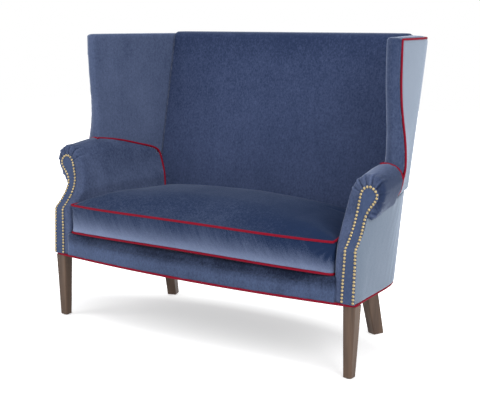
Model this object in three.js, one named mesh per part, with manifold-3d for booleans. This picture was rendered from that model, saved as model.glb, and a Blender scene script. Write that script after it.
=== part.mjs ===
// A two-seat wing settee with scroll arms, a tight back and one loose seat cushion.
// Millimetres. +X to the right of someone facing the settee, +Y to its back, +Z up.
// Everything is laid out from the middle of the front corners on the floor, and the whole
// group is then moved so that its origin is the middle of its footprint.
import * as THREE from 'three';
import { mergeVertices } from 'three/addons/utils/BufferGeometryUtils.js';
import Module from 'manifold-3d';

const wasm = await Module();
wasm.setup();

// Main sizes
const bodyWidth = 1372;
const bodyBase = 251;
const deckRise = 93.4;
const armRise = 335.6;
const armClimb = 20;
const wingRise = 406;
const backRise = 11;
const deckTop = bodyBase + deckRise;
const armTopFront = deckTop + armRise;
const armTopRear = armTopFront + armClimb;
const wingTop = armTopRear + wingRise;
const backTop = wingTop + backRise;
const seam = 0.6;
const clearance = 0.3;
const halfWidth = bodyWidth / 2;

// Plan of the body at its base
const frontBow = 46.8;
const borderBowTop = 33;
const rearLine = 546;
const cornerRadius = 291;
const cornerSideGap = 28;
const cornerInset = cornerRadius + cornerSideGap;
const waistLead = [22, 90];
const waistTrail = [19, 210];
const waistEase = 0.2;
const cornerStartAngle = THREE.MathUtils.degToRad(14);
const cornerSeamAngle = THREE.MathUtils.degToRad(61);

// Rake of the back and lean of the sides
const rake = 0.2;
const backDepth = 73.1;
const innerBackY = rearLine - backDepth;
const backPlumb = 237.5;
const innerBackZ = bodyBase + backPlumb;
const wingSpreadLow = 12.7;
const wingSpreadHigh = 25;
const wingStep = 10;
const armSideSwell = 62.1;
const armSwellAtFront = 12;

// Coverings
const panelThickness = 8;
const weltRadius = 3;
const weltGap = 2 * (weltRadius + clearance);
const backPadThickness = 40;
const backTopPad = 14;
const backEdgeRadius = 24;
const backCrown = 8;
const borderThickness = 22;
const borderEdgeRadius = 12;
const borderLip = 34;
const borderLipThickness = 10;
const weltInset = 4;
const weltSides = 6;
const capNudge = 1e-4;
const mergeReach = 1e-4;
const deckThickness = 5.8;
const dustThickness = 1.4;
const dustInset = 14;

// Arm
const armRollPad = 33;
const setbackRise = 130;
const headRise = 77;
const facingSetback = 76;
const facingLean = 9;
const facingForward = 6;
const facingInset = 56;
const facingThickness = 3.5;
const facingX = halfWidth - facingInset;
const facingBase = bodyBase + weltGap;
const facingTop = armTopFront - armRollPad;
const kinkHeight = facingTop - headRise - setbackRise;
const armFrontWall = 8;
const panelLipGap = 2.4;
const armWrap = 26;
const armWidthLow = 82.4;
const armWidthRear = 194;
const armShoulderInset = 86;
const armShoulderRearInset = 143;
const armOverhangFront = 54;
const armOverhangRear = 41;
const facingSideGap = 20;
const facingWidth = armOverhangFront + facingInset - facingSideGap;
const armInnerFront = halfWidth - armWidthLow;
const armInnerRear = halfWidth - armWidthRear;
const armInnerRearY = innerBackY;
const armShoulderFront = halfWidth - armShoulderInset;
const armShoulderFrontY = 75;
const armShoulderRear = halfWidth - armShoulderRearInset;
const armShoulderBeyond = 15;
const armShoulderRearY = innerBackY + armShoulderBeyond;
const armOuterFront = halfWidth + armOverhangFront;
const armOuterRear = halfWidth + armOverhangRear;
const armLeanShare = [0.5, 0.82];
const armEndGap = 6;
const armEndY = rearLine - armEndGap;
const armReach = 307;
const armReachY = rearLine - armReach;

// Wing
const wingOverhang = 22;
const wingBandWidth = 47;
const wingBandLead = 23;
const wingSeamShare = 0.60687;
const wingEdgeX = halfWidth + wingOverhang;
const wingEdgeY = armReachY - clearance;
const wingInnerX = wingEdgeX - wingBandWidth;
const wingInnerY = wingEdgeY - wingBandLead;
const wingSeamX = halfWidth - cornerInset + cornerRadius * wingSeamShare;
const wingFlare = 21;
const wingSag = 19;
const armNeckDrop = 113;
const wingPanelBase = armTopRear - armNeckDrop;
const wingPadRise = 15;
const wingPadBase = wingPanelBase + wingPadRise;
const wingPadThickness = 22;
const wingFrontPad = 12;
const wingTopPad = 12;
const wingBoardThickness = 20;
const wingCapThickness = 20;
const wingUprightWidth = 44;
const wingPanelStart = 0.026;
const wingEdgeRound = 15;
const wingEdgeLead = 0.02;
const wingTopRound = 3;
const wingBoardGap = 2.4;
const panelBeyond = 60;

// Seat frame
const springWire = 4;
const springWidth = 46;
const springPitch = 30;
const springArch = 3;
const springLag = 0.2;
const springCount = 5;
const springRoom = 1.6;
const springRailTop = deckTop - deckThickness - springArch - springWire - springRoom;
const sideRailTop = deckTop - deckThickness - seam;
const railBottom = bodyBase + dustThickness + clearance;
const railThickness = 28;
const railSetIn = 14;
const railGap = 1.2;
const deckFrontGap = 2.4;
const deckOverlap = 4.2;
const braceWidth = 60;
const braceDrop = 8;
const braceTop = springRailTop - braceDrop;
const blockLeg = 105;
const rearBlockDepth = 73.5;
const rearBlockWidth = 115.5;
const blockHeightShare = 0.647;
const blockTop = THREE.MathUtils.lerp(railBottom, springRailTop, blockHeightShare);

// Back frame
const postLead = 33;
const postX = halfWidth - cornerInset + postLead;
const postWidth = 42;
const postRearGap = 17.6;
const backFrameGap = 3;
const backFrameLead = backPadThickness + backFrameGap;
const postDepth = backDepth + rake * backPlumb - panelThickness - backFrameLead - postRearGap;
const crestDrop = 14;
const crestHeight = 42;
const crestTop = wingTop - crestDrop;
const postTop = crestTop - crestHeight;
const crestDepth = 56;
const crestReach = 11.7;
const crestHalf = wingSeamX + crestReach;
const crestBack = 6;
const lowerRailLift = 42;
const lowerRailBase = springRailTop + lowerRailLift;
const lowerRailHeight = 60;
const backRailDepth = 28;
const strapGap = 0.4;
const rearRailSetIn = 14;
const strapWidth = 60;
const strapThickness = 2;
const strapCount = 3;
const strapSpread = 0.6;
const springEdge = 51.7;
const springSpacing = (2 * (postX - clearance - springEdge)) / (springCount - 1);

// Arm frame
const stumpThickness = 32;
const stumpInset = 13;
const stumpTopInset = 18;
const stumpHeadInset = 24;
const armRailWidth = 34;
const armRailHeight = 38;
const armRailInset = 12;
const armRailX = halfWidth - armRailInset;
const armRailEndLap = 8.4;
const armRailEndShift = 4.6;
const armRailDrop = 67;
const armRailZ = armTopFront - armRailDrop;
const armRailClimb = 17.4;
const armRailRise = armClimb + armRailClimb;
const wingPostWidth = 20;
const wingPostHeadGap = 2;
const wingPostShare = 0.4951;
const wingPostY = armReachY + armReach * wingPostShare;
const wingPostDepth = 26;
const wingFrameBase = armRailZ + armRailRise + armRailHeight / 2 + seam;

// Legs
const frontLegTop = 46;
const frontLegFoot = 31.5;
const frontLegInsetX = 4;
const frontLegInsetY = 1;
const frontFootInsetX = 15.5;
const frontFootInsetY = 5;
const rearLegTopWidth = 46;
const rearLegTopDepth = 58;
const rearFootWidth = 38;
const rearFootDepth = 48;
const rearLegInsetX = 208;
const rearLegInsetY = 94;
const rearLegSplayX = 17;
const rearLegSplayY = 60;
const rearLegX = halfWidth - rearLegInsetX;
const rearLegY = rearLine - rearLegInsetY;
const rearFootX = rearLegX + rearLegSplayX;
const rearFootY = rearLegY + rearLegSplayY;
const rearLegTurn = THREE.MathUtils.degToRad(-22);
const legEdge = 2.5;
const glideRadius = 11;
const glideHeight = 3;

// Cushion
const cushionSideGap = 6.2;
const cushionRearSideGap = 7.6;
const cushionRearGap = 15.9;
const cushionHalfFront = armInnerFront - cushionSideGap;
const cushionHalfRear = armInnerRear - cushionRearSideGap;
const cushionFrontY = 2.2;
const cushionRearY = innerBackY - cushionRearGap;
const cushionBowTop = 46;
const cushionBowBottom = 27;
const cushionEdgeRise = 4.2;
const cushionBoxing = 109.8;
const cushionBottom = deckTop + cushionEdgeRise;
const cushionTop = cushionBottom + cushionBoxing;
const cushionMidRise = 8;
const cushionCrown = 52.4;
const cushionBelly = 4;
const cushionDrawIn = 5;
const cushionCorner = 12;
const coverThickness = 2.4;
const zipShare = 0.62;
const zipOpening = 7;

// Shares chosen by hand for the free curves
// Heights of the piping up the wing's front edge.
const crownWeltShares = [0, 0.07, 0.12, 0.17, 0.22, 0.3, 0.39, 0.48, 0.6, 0.74, 0.88, 1];
// Height, then how far the inner and outer edges of the arm front stand across its width.
const facingShares = [
  [0, 0, 0.589], [0.245, 0.02, 0.6], [0.449, 0.055, 0.6], [0.576, 0.035, 0.56],
  [0.679, 0.04, 0.53], [0.742, 0.06, 0.56], [0.793, 0.09, 0.69], [0.844, 0.13, 0.87],
  [0.895, 0.17, 0.99], [0.938, 0.22, 0.97], [0.972, 0.31, 0.86], [0.99, 0.41, 0.76],
  [1, 0.52, 0.68],
];
// Section of the arm from the bottom of its inside, over the roll, to the neck under it.
const armShares = [
  [0, 0], [0, 0.2136], [0, 0.33], [0, 0.46], [-0.01, 0.6], [0, 0.718], [0.043, 0.812],
  [0.129, 0.894], [0.273, 0.958], [0.46, 0.993], [0.647, 1], [0.82, 0.979],
  [0.942, 0.937], [1, 0.876], [0.964, 0.812], [0.856, 0.758], [0.719, 0.723], [0.604, 0.69],
];
// The same section where the arm meets the wing, for its last three points.
const armNeckWingShares = [[0.97, 0.815], [0.925, 0.785], [0.87, 0.752]];
// Its inner shoulder at the rear end, where it is squarer, after this many points of its inside.
const armShoulderShares = [[0, 0.785], [0.03, 0.845], [0.1, 0.897], [0.262, 0.947]];
const armInsideCount = 5;
// How many of its points stand before its crest, where the piping turns inwards along the wing.
const armRiseCount = 9;
// The hollow of the arm that holds its frame.
const hollowShares = [
  [0.2, -0.05], [0.2, 0.22], [0.2, 0.436], [0.2, 0.54], [0.2, 0.66], [0.2, 0.8], [0.29, 0.887],
  [0.47, 0.93], [0.65, 0.939], [0.777, 0.906], [0.81, 0.859], [0.777, 0.812], [0.66, 0.765],
  [0.6, 0.735], [0.56, 0.705], [1.4, 0.65], [1.4, 0.54], [1.4, 0.436], [1.4, 0.22], [1.4, -0.05],
];
const hollowWingShares = [
  [0.76, 0.82], [0.74, 0.79], [0.72, 0.75], [1.4, 0.73], [1.4, 0.54], [1.4, 0.436], [1.4, 0.22],
  [1.4, -0.05],
];
const armForm = { front: armShares, wing: armNeckWingShares, rear: armShoulderShares };
const hollowForm = { front: hollowShares, wing: hollowWingShares, rear: [] };
const armPanelShares = [0, 0.35, 0.64, 0.73, 0.82, 0.91, 1];
const armRingShares = [0.12, 0.24, 0.36, 0.5, 0.66, 0.82, 1];
// How far the arm's covering is drawn in towards the facing, from its front edge back.
const armTucks = [0.25, 0.08, 0, 0];
// Heights of the points down the outer side of the arm's front.
const armSideShares = [0.61, 0.54, 0.48, 0.42, 0.33, 0.2136, 0];
// Front edge of the wing: height, outward flare and sag to the rear.
const wingEdgeShares = [
  [0, -0.14, 0], [0.077, 0.52, 0], [0.131, 0.88, 0.1], [0.185, 1, 0.47], [0.335, 0.67, 1],
  [0.487, 0.19, 0.84], [0.603, 0.02, 0.4], [0.796, 0, 0], [1, 0.14, 0.05],
];
// Plan offset of the arm rail from its front end as it runs back.
const armRailShares = [[0, 0, 0], [0.24, 0, 0.54], [0.44, 0.104, 0.89], [0.71, 0.435, 1], [1, 1, 1]];

// Heights at which each sheet or loft gets a row of points.
const kinkRowShares = [0, 0.45, 0.8];
const setbackRowShares = [0, 0.125, 0.25, 0.375, 0.5, 0.625, 0.75, 0.875, 1];
const scrollRowShares = [0.2, 0.4, 0.55, 0.68, 0.79, 0.88, 0.95, 0.99, 1];
const wingRowShares = [0.1376, 0.298, 0.4587, 0.665, 0.8486];
const wingBaseRowShare = 0.265;
const backRowShares = [0.25, 0.5, 0.75];
const backUpperRowShares = [0.2, 0.4, 0.6, 0.8, 1];
const facingLevels = [
  ...kinkRowShares.map((t) => THREE.MathUtils.lerp(facingBase, kinkHeight, t)),
  ...setbackRowShares.map((t) => kinkHeight + setbackRise * t),
  ...scrollRowShares.map((t) => THREE.MathUtils.lerp(kinkHeight + setbackRise, facingTop, t)),
];
const wingLevels = [
  THREE.MathUtils.lerp(wingPadBase, wingFrameBase, wingBaseRowShare),
  wingFrameBase,
  ...wingRowShares.map((t) => THREE.MathUtils.lerp(wingFrameBase, wingTop, t)),
];
const flatShare = 0.72;
// Rows and columns of points in the larger sheets.
const keepOutSteps = 8;
const panelColumns = 14;
const panelRows = 12;
const padColumns = 16;
const faceRows = 6;
const edgeRows = 4;
const wingSideSteps = 11;
const deckColumns = 12;
const deckRows = 8;
const railColumns = 12;
const outlineFrontSteps = 7;
const outlineSideSteps = 15;
const halvings = 40;
const glideSides = 12;
const wireSides = 4;
const cushionFrontSteps = 6;
const cushionSideSteps = 7;
// The wing's front band is drawn out this many times to cut what stands in front of it.
const bandReach = 6;
const faceShares = [0, 0.2, 0.4, 0.6, 0.8];
const bendShares = [0, 0.33, 0.67, 1];
const borderWallShares = [0, 0.4, 0.75, 1];
const borderBendShares = [0.5, 0.866, 1];
const crownSideShares = [0.06, 0.14, 0.25, 0.37, 0.5, 0.6, 0.7, 0.8, 0.9, 1];
const crownRearShares = [0.25, 0.5, 0.75, 1];
const weltWingShares = [0.04, 0.22, 0.42, 0.62, 0.82, 0.95];
const weltBackShares = [0.12, 0.3, 0.5, 0.75, 1];
const weltPasses = 4;
// The back pad's top: where it turns down, and how far it has dropped at its rear edge.
const crestTurnShare = 0.55;
const crestFallShare = 0.45;
// Rings of the cushion, from its belly up over its boxing to its crown.
const bellyShares = [0.3, 0.7, 0.94];
const boxingShares = [0.3, 0.7];
const crownShares = [0.97, 0.9, 0.76, 0.45];
const crownPower = 7;
const bellyPower = 4;
const bowPower = 3.5;
const panelStepTop = wingPanelBase + wingStep;
const backPanelLevels = [
  facingBase,
  ...backRowShares.map((t) => THREE.MathUtils.lerp(facingBase, wingPanelBase, t)),
  wingPanelBase - seam,
  panelStepTop,
  ...backUpperRowShares.map((t) => THREE.MathUtils.lerp(panelStepTop, wingTop - weltGap, t)),
];

// Materials
function upholstery() {
  return new THREE.MeshStandardMaterial({ color: 0x34486f, roughness: 0.85, metalness: 0 });
}

function contrastWelt() {
  return new THREE.MeshStandardMaterial({ color: 0xa3122d, roughness: 0.6, metalness: 0 });
}

function walnut() {
  return new THREE.MeshStandardMaterial({ color: 0x5b4636, roughness: 0.5, metalness: 0 });
}

function frameWood() {
  return new THREE.MeshStandardMaterial({ color: 0xc9a673, roughness: 0.75, metalness: 0 });
}

function foam() {
  return new THREE.MeshStandardMaterial({ color: 0xe8dfc0, roughness: 0.95, metalness: 0 });
}

function cambric() {
  return new THREE.MeshStandardMaterial({ color: 0x16161a, roughness: 0.95, metalness: 0 });
}

function jute() {
  return new THREE.MeshStandardMaterial({ color: 0xb09a6b, roughness: 0.95, metalness: 0 });
}

function springSteel() {
  return new THREE.MeshStandardMaterial({ color: 0x6a6c70, roughness: 0.4, metalness: 1 });
}

function nylon() {
  return new THREE.MeshStandardMaterial({ color: 0x2a2622, roughness: 0.6, metalness: 0 });
}

// Solids
const lerp = THREE.MathUtils.lerp;
const clamp = THREE.MathUtils.clamp;
const smooth = THREE.MathUtils.smoothstep;

const settee = new THREE.Group();

function addPiece(name, geometry, material) {
  const mesh = new THREE.Mesh(geometry, material);
  mesh.name = name;
  settee.add(mesh);
}

// Adds the right-hand piece and its mirror image on the left.
function addPair(name, geometry, material) {
  addPiece(name + '_right', geometry, material);
  addPiece(name + '_left', mirrored(geometry), material);
}

function mirrored(geometry) {
  const copy = geometry.index ? geometry.toNonIndexed() : geometry.clone();
  const place = copy.getAttribute('position');
  for (let i = 0; i < place.count; i += 3) {
    const a = new THREE.Vector3().fromBufferAttribute(place, i);
    const b = new THREE.Vector3().fromBufferAttribute(place, i + 1);
    const c = new THREE.Vector3().fromBufferAttribute(place, i + 2);
    place.setXYZ(i, -a.x, a.y, a.z);
    place.setXYZ(i + 1, -c.x, c.y, c.z);
    place.setXYZ(i + 2, -b.x, b.y, b.z);
  }
  return copy;
}

function fromTriangles(corners, faces) {
  const geometry = new THREE.BufferGeometry();
  const places = corners.flatMap((p) => [p.x, p.y, p.z]);
  geometry.setAttribute('position', new THREE.Float32BufferAttribute(places, 3));
  geometry.setIndex(faces.flat());
  return facingOut(geometry);
}

// Turns every face round when the body was wound inside out.
function facingOut(geometry) {
  const place = geometry.getAttribute('position');
  const order = geometry.index.array;
  const at = (k) => new THREE.Vector3().fromBufferAttribute(place, order[k]);
  let volume = 0;
  for (let k = 0; k < order.length; k += 3) volume += at(k).dot(at(k + 1).cross(at(k + 2)));
  if (volume < 0) {
    for (let k = 0; k < order.length; k += 3) [order[k], order[k + 1]] = [order[k + 1], order[k]];
  }
  return geometry;
}

// A body through closed rings of points, with its two ends closed flat.
function loft(rings, project) {
  const count = rings[0].length;
  const walls = [];
  for (let r = 0; r + 1 < rings.length; r += 1) {
    for (let i = 0; i < count; i += 1) {
      const j = (i + 1) % count;
      const a = r * count + i;
      const b = r * count + j;
      walls.push([a, b, b + count], [a, b + count, a + count]);
    }
  }
  const last = rings.length - 1;
  const ends = [endCap(rings[0], 0, project), endCap(rings[last], last * count, project)];
  return fromTriangles(rings.flat(), [...walls, ...ends.flatMap((cap) => matched(cap, walls))]);
}

// Points in one straight line would be left out of a cap, so each second one is nudged.
function endCap(ring, first, project) {
  const flat = ring.map((p, i) => project(p).addScalar((i % 2) * capNudge));
  return THREE.ShapeUtils.triangulateShape(flat, []).map((face) => face.map((k) => first + k));
}

// Turns a cap round when its triangles run the same way as the walls along their shared edges.
function matched(cap, walls) {
  const edges = new Set(walls.flatMap(([a, b, c]) => [a + ':' + b, b + ':' + c, c + ':' + a]));
  const clash = cap.some(([a, b, c]) => [a + ':' + b, b + ':' + c, c + ':' + a].some((e) => edges.has(e)));
  return clash ? cap.map(([a, b, c]) => [a, c, b]) : cap;
}

const onPlan = (p) => new THREE.Vector2(p.x, p.y);
const onSection = (p) => new THREE.Vector2(p.x, p.z);

// A closed padded sheet between two surfaces that are given on the same grid.
function slab(outer, inner, across, along) {
  const corners = [];
  for (const surface of [outer, inner]) {
    for (let v = 0; v <= along; v += 1) {
      for (let u = 0; u <= across; u += 1) corners.push(surface(u / across, v / along));
    }
  }
  const wide = across + 1;
  const sheet = wide * (along + 1);
  const faces = [];
  for (let v = 0; v < along; v += 1) {
    for (let u = 0; u < across; u += 1) {
      const a = v * wide + u;
      faces.push([a, a + 1, a + wide + 1], [a, a + wide + 1, a + wide]);
      faces.push([sheet + a, sheet + a + wide + 1, sheet + a + 1]);
      faces.push([sheet + a, sheet + a + wide, sheet + a + wide + 1]);
    }
  }
  const rim = [];
  for (let u = 0; u < across; u += 1) rim.push(u);
  for (let v = 0; v < along; v += 1) rim.push(v * wide + across);
  for (let u = across; u > 0; u -= 1) rim.push(along * wide + u);
  for (let v = along; v > 0; v -= 1) rim.push(v * wide);
  rim.forEach((a, k) => {
    const b = rim[(k + 1) % rim.length];
    faces.push([b, a, sheet + a], [b, sheet + a, sheet + b]);
  });
  return fromTriangles(corners, faces);
}

function ringShape(radius, sides) {
  const shape = new THREE.Shape();
  for (let i = 0; i < sides; i += 1) {
    const turn = (2 * Math.PI * (i + 0.5)) / sides;
    const x = radius * Math.cos(turn);
    const y = radius * Math.sin(turn);
    if (i === 0) shape.moveTo(x, y);
    else shape.lineTo(x, y);
  }
  shape.closePath();
  return shape;
}

// A path that passes through its points in straight steps, so that each one gets a section.
class StepPath extends THREE.Curve {
  constructor(points, closed) {
    super();
    this.points = points;
    this.closed = closed;
    this.steps = closed ? points.length : points.length - 1;
  }

  at(k) {
    const count = this.points.length;
    return this.points[this.closed ? (k + count) % count : clamp(k, 0, count - 1)];
  }

  getPoint(t, target = new THREE.Vector3()) {
    const k = Math.round(t * this.steps);
    return target.copy(this.at(k));
  }

  getPointAt(u, target) {
    return this.getPoint(u, target);
  }

  getTangentAt(u, target = new THREE.Vector3()) {
    const k = Math.round(u * this.steps);
    const before = this.at(k).clone().sub(this.at(k - 1)).normalize();
    const after = this.at(k + 1).clone().sub(this.at(k)).normalize();
    return target.addVectors(before, after).normalize();
  }
}

// A round cord or wire through points.
function cord(points, radius, sides) {
  const extrudePath = new StepPath(points, false);
  const options = { steps: extrudePath.steps, extrudePath, bevelEnabled: false };
  return new THREE.ExtrudeGeometry(ringShape(radius, sides), options);
}

function closedCord(points, radius, sides) {
  const path = new StepPath(points, true);
  return new THREE.TubeGeometry(path, path.steps, radius, sides, true);
}

function toSolid(geometry) {
  const bare = geometry.clone();
  bare.deleteAttribute('normal');
  bare.deleteAttribute('uv');
  const merged = mergeVertices(bare, mergeReach);
  return new wasm.Manifold(new wasm.Mesh({
    numProp: 3,
    vertProperties: Float32Array.from(merged.getAttribute('position').array),
    triVerts: Uint32Array.from(merged.index.array),
  }));
}

function toGeometry(solid) {
  const mesh = solid.getMesh();
  const geometry = new THREE.BufferGeometry();
  geometry.setAttribute('position', new THREE.Float32BufferAttribute(mesh.vertProperties, 3));
  geometry.setIndex(Array.from(mesh.triVerts));
  return geometry;
}

function boxBetween(low, high) {
  const box = new THREE.BoxGeometry(high[0] - low[0], high[1] - low[1], high[2] - low[2]);
  return box.translate((low[0] + high[0]) / 2, (low[1] + high[1]) / 2, (low[2] + high[2]) / 2);
}

// A table of shares read by its first column along a smooth curve.
function readShares(table, at) {
  const last = table.length - 1;
  let k = 0;
  while (k < last - 1 && table[k + 1][0] < at) k += 1;
  const span = table[k + 1][0] - table[k][0];
  const t = clamp((at - table[k][0]) / span, 0, 1);
  const slope = (i, c) => {
    const lo = Math.max(i - 1, 0);
    const hi = Math.min(i + 1, last);
    return (table[hi][c] - table[lo][c]) / (table[hi][0] - table[lo][0]);
  };
  return table[0].slice(1).map((_, n) => {
    const c = n + 1;
    const h00 = 2 * t ** 3 - 3 * t ** 2 + 1;
    const h10 = t ** 3 - 2 * t ** 2 + t;
    const h01 = -2 * t ** 3 + 3 * t ** 2;
    const h11 = t ** 3 - t ** 2;
    const first = h00 * table[k][c] + h10 * span * slope(k, c);
    return first + h01 * table[k + 1][c] + h11 * span * slope(k + 1, c);
  });
}

// Surfaces shared by the coverings and the frame
function backFaceY(z) {
  return innerBackY + rake * (z - innerBackZ);
}

function rearShift(z) {
  return rake * (z - bodyBase);
}

function bodySpread(z) {
  const low = wingSpreadLow * clamp((z - wingPanelBase) / wingStep, 0, 1);
  const rise = clamp((z - wingPanelBase) / (wingTop - wingPanelBase), 0, 1);
  return low + (wingSpreadHigh - wingSpreadLow) * rise;
}

// Plan curve from a front point, along the side, round the corner and to the middle of the back.
function planCurve(front, lead, trail, spread, z, inset) {
  const centre = new THREE.Vector2(
    halfWidth - cornerInset + spread,
    rearLine - cornerRadius + rearShift(z),
  );
  const radius = cornerRadius - inset;
  const start = new THREE.Vector2(
    centre.x + radius * Math.cos(cornerStartAngle),
    centre.y + radius * Math.sin(cornerStartAngle),
  );
  return { side: new THREE.CubicBezierCurve(front, lead, trail, start), centre, radius };
}

function onPlanCurve(curve, share, endAngle) {
  const sideLength = curve.side.getLength();
  const arc = curve.radius * (endAngle - cornerStartAngle);
  const split = sideLength / (sideLength + arc);
  if (share <= split) return curve.side.getPointAt(clamp(share / split, 0, 1));
  const angle = lerp(cornerStartAngle, endAngle, (share - split) / (1 - split));
  return new THREE.Vector2(
    curve.centre.x + curve.radius * Math.cos(angle),
    curve.centre.y + curve.radius * Math.sin(angle),
  );
}

// The share of a plan curve from which its points pass a test.
function shareWhere(curve, passes, endAngle = Math.PI / 2) {
  let low = 0;
  let high = 1;
  for (let i = 0; i < halvings; i += 1) {
    const middle = (low + high) / 2;
    if (passes(onPlanCurve(curve, middle, endAngle))) high = middle;
    else low = middle;
  }
  return high;
}

function facingY(z) {
  const lean = facingLean * clamp((z - facingBase) / (kinkHeight - facingBase), 0, 1);
  const rise = clamp((z - kinkHeight) / setbackRise, 0, 1);
  return -facingForward + lean + facingSetback * (1 - (1 - rise) ** 2);
}

// Outer face of the lower side of the body at height z.
function armSideCurve(z, inset) {
  const up = (z - bodyBase) / (wingPanelBase - bodyBase);
  const front = new THREE.Vector2(
    halfWidth - inset,
    facingY(z) + armFrontWall + facingThickness + 2 * seam,
  );
  const lead = new THREE.Vector2(
    halfWidth - waistLead[0] + armSwellAtFront * up - inset,
    Math.max(waistLead[1], front.y) + (front.y - facingY(facingBase)) * waistEase,
  );
  const trail = new THREE.Vector2(
    halfWidth - waistTrail[0] + armSideSwell * up - inset,
    waistTrail[1] + rearShift(z),
  );
  return planCurve(front, lead, trail, 0, z, inset);
}

// Where the outer face of the lower side stands at a distance from the front.
function armWallX(y, z, inset) {
  const curve = armSideCurve(z, inset);
  return onPlanCurve(curve, shareWhere(curve, (p) => p.y > y), Math.PI / 2).x;
}

function wingEdge(z) {
  const share = (z - wingPanelBase) / (wingTop - wingPanelBase);
  const [out, back] = readShares(wingEdgeShares, clamp(share, 0, 1));
  return new THREE.Vector2(wingEdgeX + wingFlare * out, wingEdgeY + wingSag * back);
}

function wingInnerEdge(z) {
  return new THREE.Vector2(wingInnerX, wingInnerY + wingEdge(z).y - wingEdgeY);
}

function wingSeam(z) {
  return new THREE.Vector2(wingSeamX, backFaceY(z));
}

// Outer face of the wing at height z.
function wingSideCurve(z, inset) {
  const edge = wingEdge(z);
  const front = new THREE.Vector2(edge.x - inset, edge.y);
  const rise = clamp((z - wingPanelBase) / (wingTop - wingPanelBase), 0, 1);
  const spread = wingSpreadLow + (wingSpreadHigh - wingSpreadLow) * rise;
  const curve = planCurve(front, front, front, spread, z, inset);
  const start = curve.side.v3;
  const reach = front.distanceTo(start) / 3;
  const tangent = new THREE.Vector2(-Math.sin(cornerStartAngle), Math.cos(cornerStartAngle));
  const trail = start.clone().addScaledVector(tangent, -reach);
  const lead = front.clone().lerp(trail, 0.5);
  return planCurve(front, lead, trail, spread, z, inset);
}

function at(plan, z) {
  return new THREE.Vector3(plan.x, plan.y, z);
}

// Moves a path sideways by a distance, mitred at its corners. Left of its direction is positive.
function offsetPath(points, distance) {
  const normal = (a, b) => {
    const d = b.clone().sub(a).normalize();
    return new THREE.Vector2(-d.y, d.x);
  };
  return points.map((p, i) => {
    const before = i > 0 ? normal(points[i - 1], p) : normal(p, points[i + 1]);
    const after = i + 1 < points.length ? normal(p, points[i + 1]) : before;
    const middle = before.clone().add(after).normalize();
    return p.clone().addScaledVector(middle, distance / middle.dot(before));
  });
}

// Arm
function armInner(y, heightShare) {
  const low = lerp(armInnerFront, armInnerRear, y / armInnerRearY);
  const along = (y - armShoulderFrontY) / (armShoulderRearY - armShoulderFrontY);
  const high = lerp(armShoulderFront, armShoulderRear, Math.max(along, 0));
  return lerp(low, Math.max(high, low), smooth(heightShare, ...armLeanShare));
}

function armTop(y) {
  return lerp(armTopFront, armTopRear, smooth(y, armShoulderFrontY, armReachY));
}

function armPoint(share, y) {
  const along = clamp((y - armShoulderFrontY) / (armReachY - armShoulderFrontY), 0, 1);
  const outer = lerp(armOuterFront, armOuterRear, along);
  const shoulder = armInner(y, 1);
  return new THREE.Vector2(
    armInner(y, share[1]) + share[0] * (outer - shoulder),
    lerp(facingBase, armTop(y), share[1]),
  );
}

// The section at a place along the arm, between its shapes at the front, the wing and the rear.
function armSection({ front, wing, rear }, y) {
  const toWing = smooth(y, armShoulderFrontY, armReachY);
  const toRear = smooth(y, armReachY, armShoulderRearY);
  const fixed = front.length - wing.length;
  return front.map((share, i) => {
    const end = wing[i - fixed] ?? rear[i - armInsideCount] ?? share;
    const along = i < fixed ? toRear : toWing;
    return armPoint([lerp(share[0], end[0], along), lerp(share[1], end[1], along)], y);
  });
}

function armStation(form, gap, share) {
  const sample = armSection(form, armShoulderFrontY);
  return sample.map((point, i) => {
    const face = facingY(point.y);
    const y = lerp(face + gap, armEndY, share);
    const p = armSection(form, y)[i];
    return new THREE.Vector3(p.x, y, p.y);
  });
}

// Closes the arm section down its outer side, inside the outer panel.
function armBlockRing(gap, share, tuck) {
  const ring = armStation(armForm, gap, share);
  const neck = ring[ring.length - 1];
  const side = armSideShares.map((height) => {
    const z = lerp(facingBase, armTop(neck.y), height);
    return new THREE.Vector3(Math.min(halfWidth - seam, neck.x), lerp(facingY(z) + gap, armEndY, share), z);
  });
  const all = [...ring, ...side];
  const middle = all.reduce((sum, p) => sum.add(p), new THREE.Vector3()).divideScalar(all.length);
  if (tuck > 0) {
    all.forEach((p) => {
      const face = facingEdges(clamp(p.z, facingBase, facingTop));
      const low = Math.max(p.x, face[0] - facingThickness);
      const high = Math.min(p.x, face[1] + facingThickness);
      const x = p.x < middle.x ? low : high;
      p.x = lerp(p.x, x, tuck);
      p.z = lerp(p.z, Math.min(p.z, facingTop + facingThickness), tuck);
    });
  }
  return all;
}

function facingEdges(z) {
  const [inner, outer] = readShares(facingShares, clamp((z - facingBase) / (facingTop - facingBase), 0, 1));
  return [facingX + inner * facingWidth, facingX + outer * facingWidth];
}

// The space in front of the arm's front face, at a distance behind that face.
function frontZone(gap) {
  const levels = [facingBase - weltGap, ...facingLevels, armTopRear + weltGap];
  const last = levels.length - 1;
  const sheet = (y) => (u, v) => {
    const z = levels[Math.round(v * last)];
    return new THREE.Vector3(lerp(armInnerRear, armOuterFront + armInnerRear, u), y ?? facingY(z) + gap, z);
  };
  return toSolid(slab(sheet(-armInnerRear), sheet(), 1, last));
}

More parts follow.
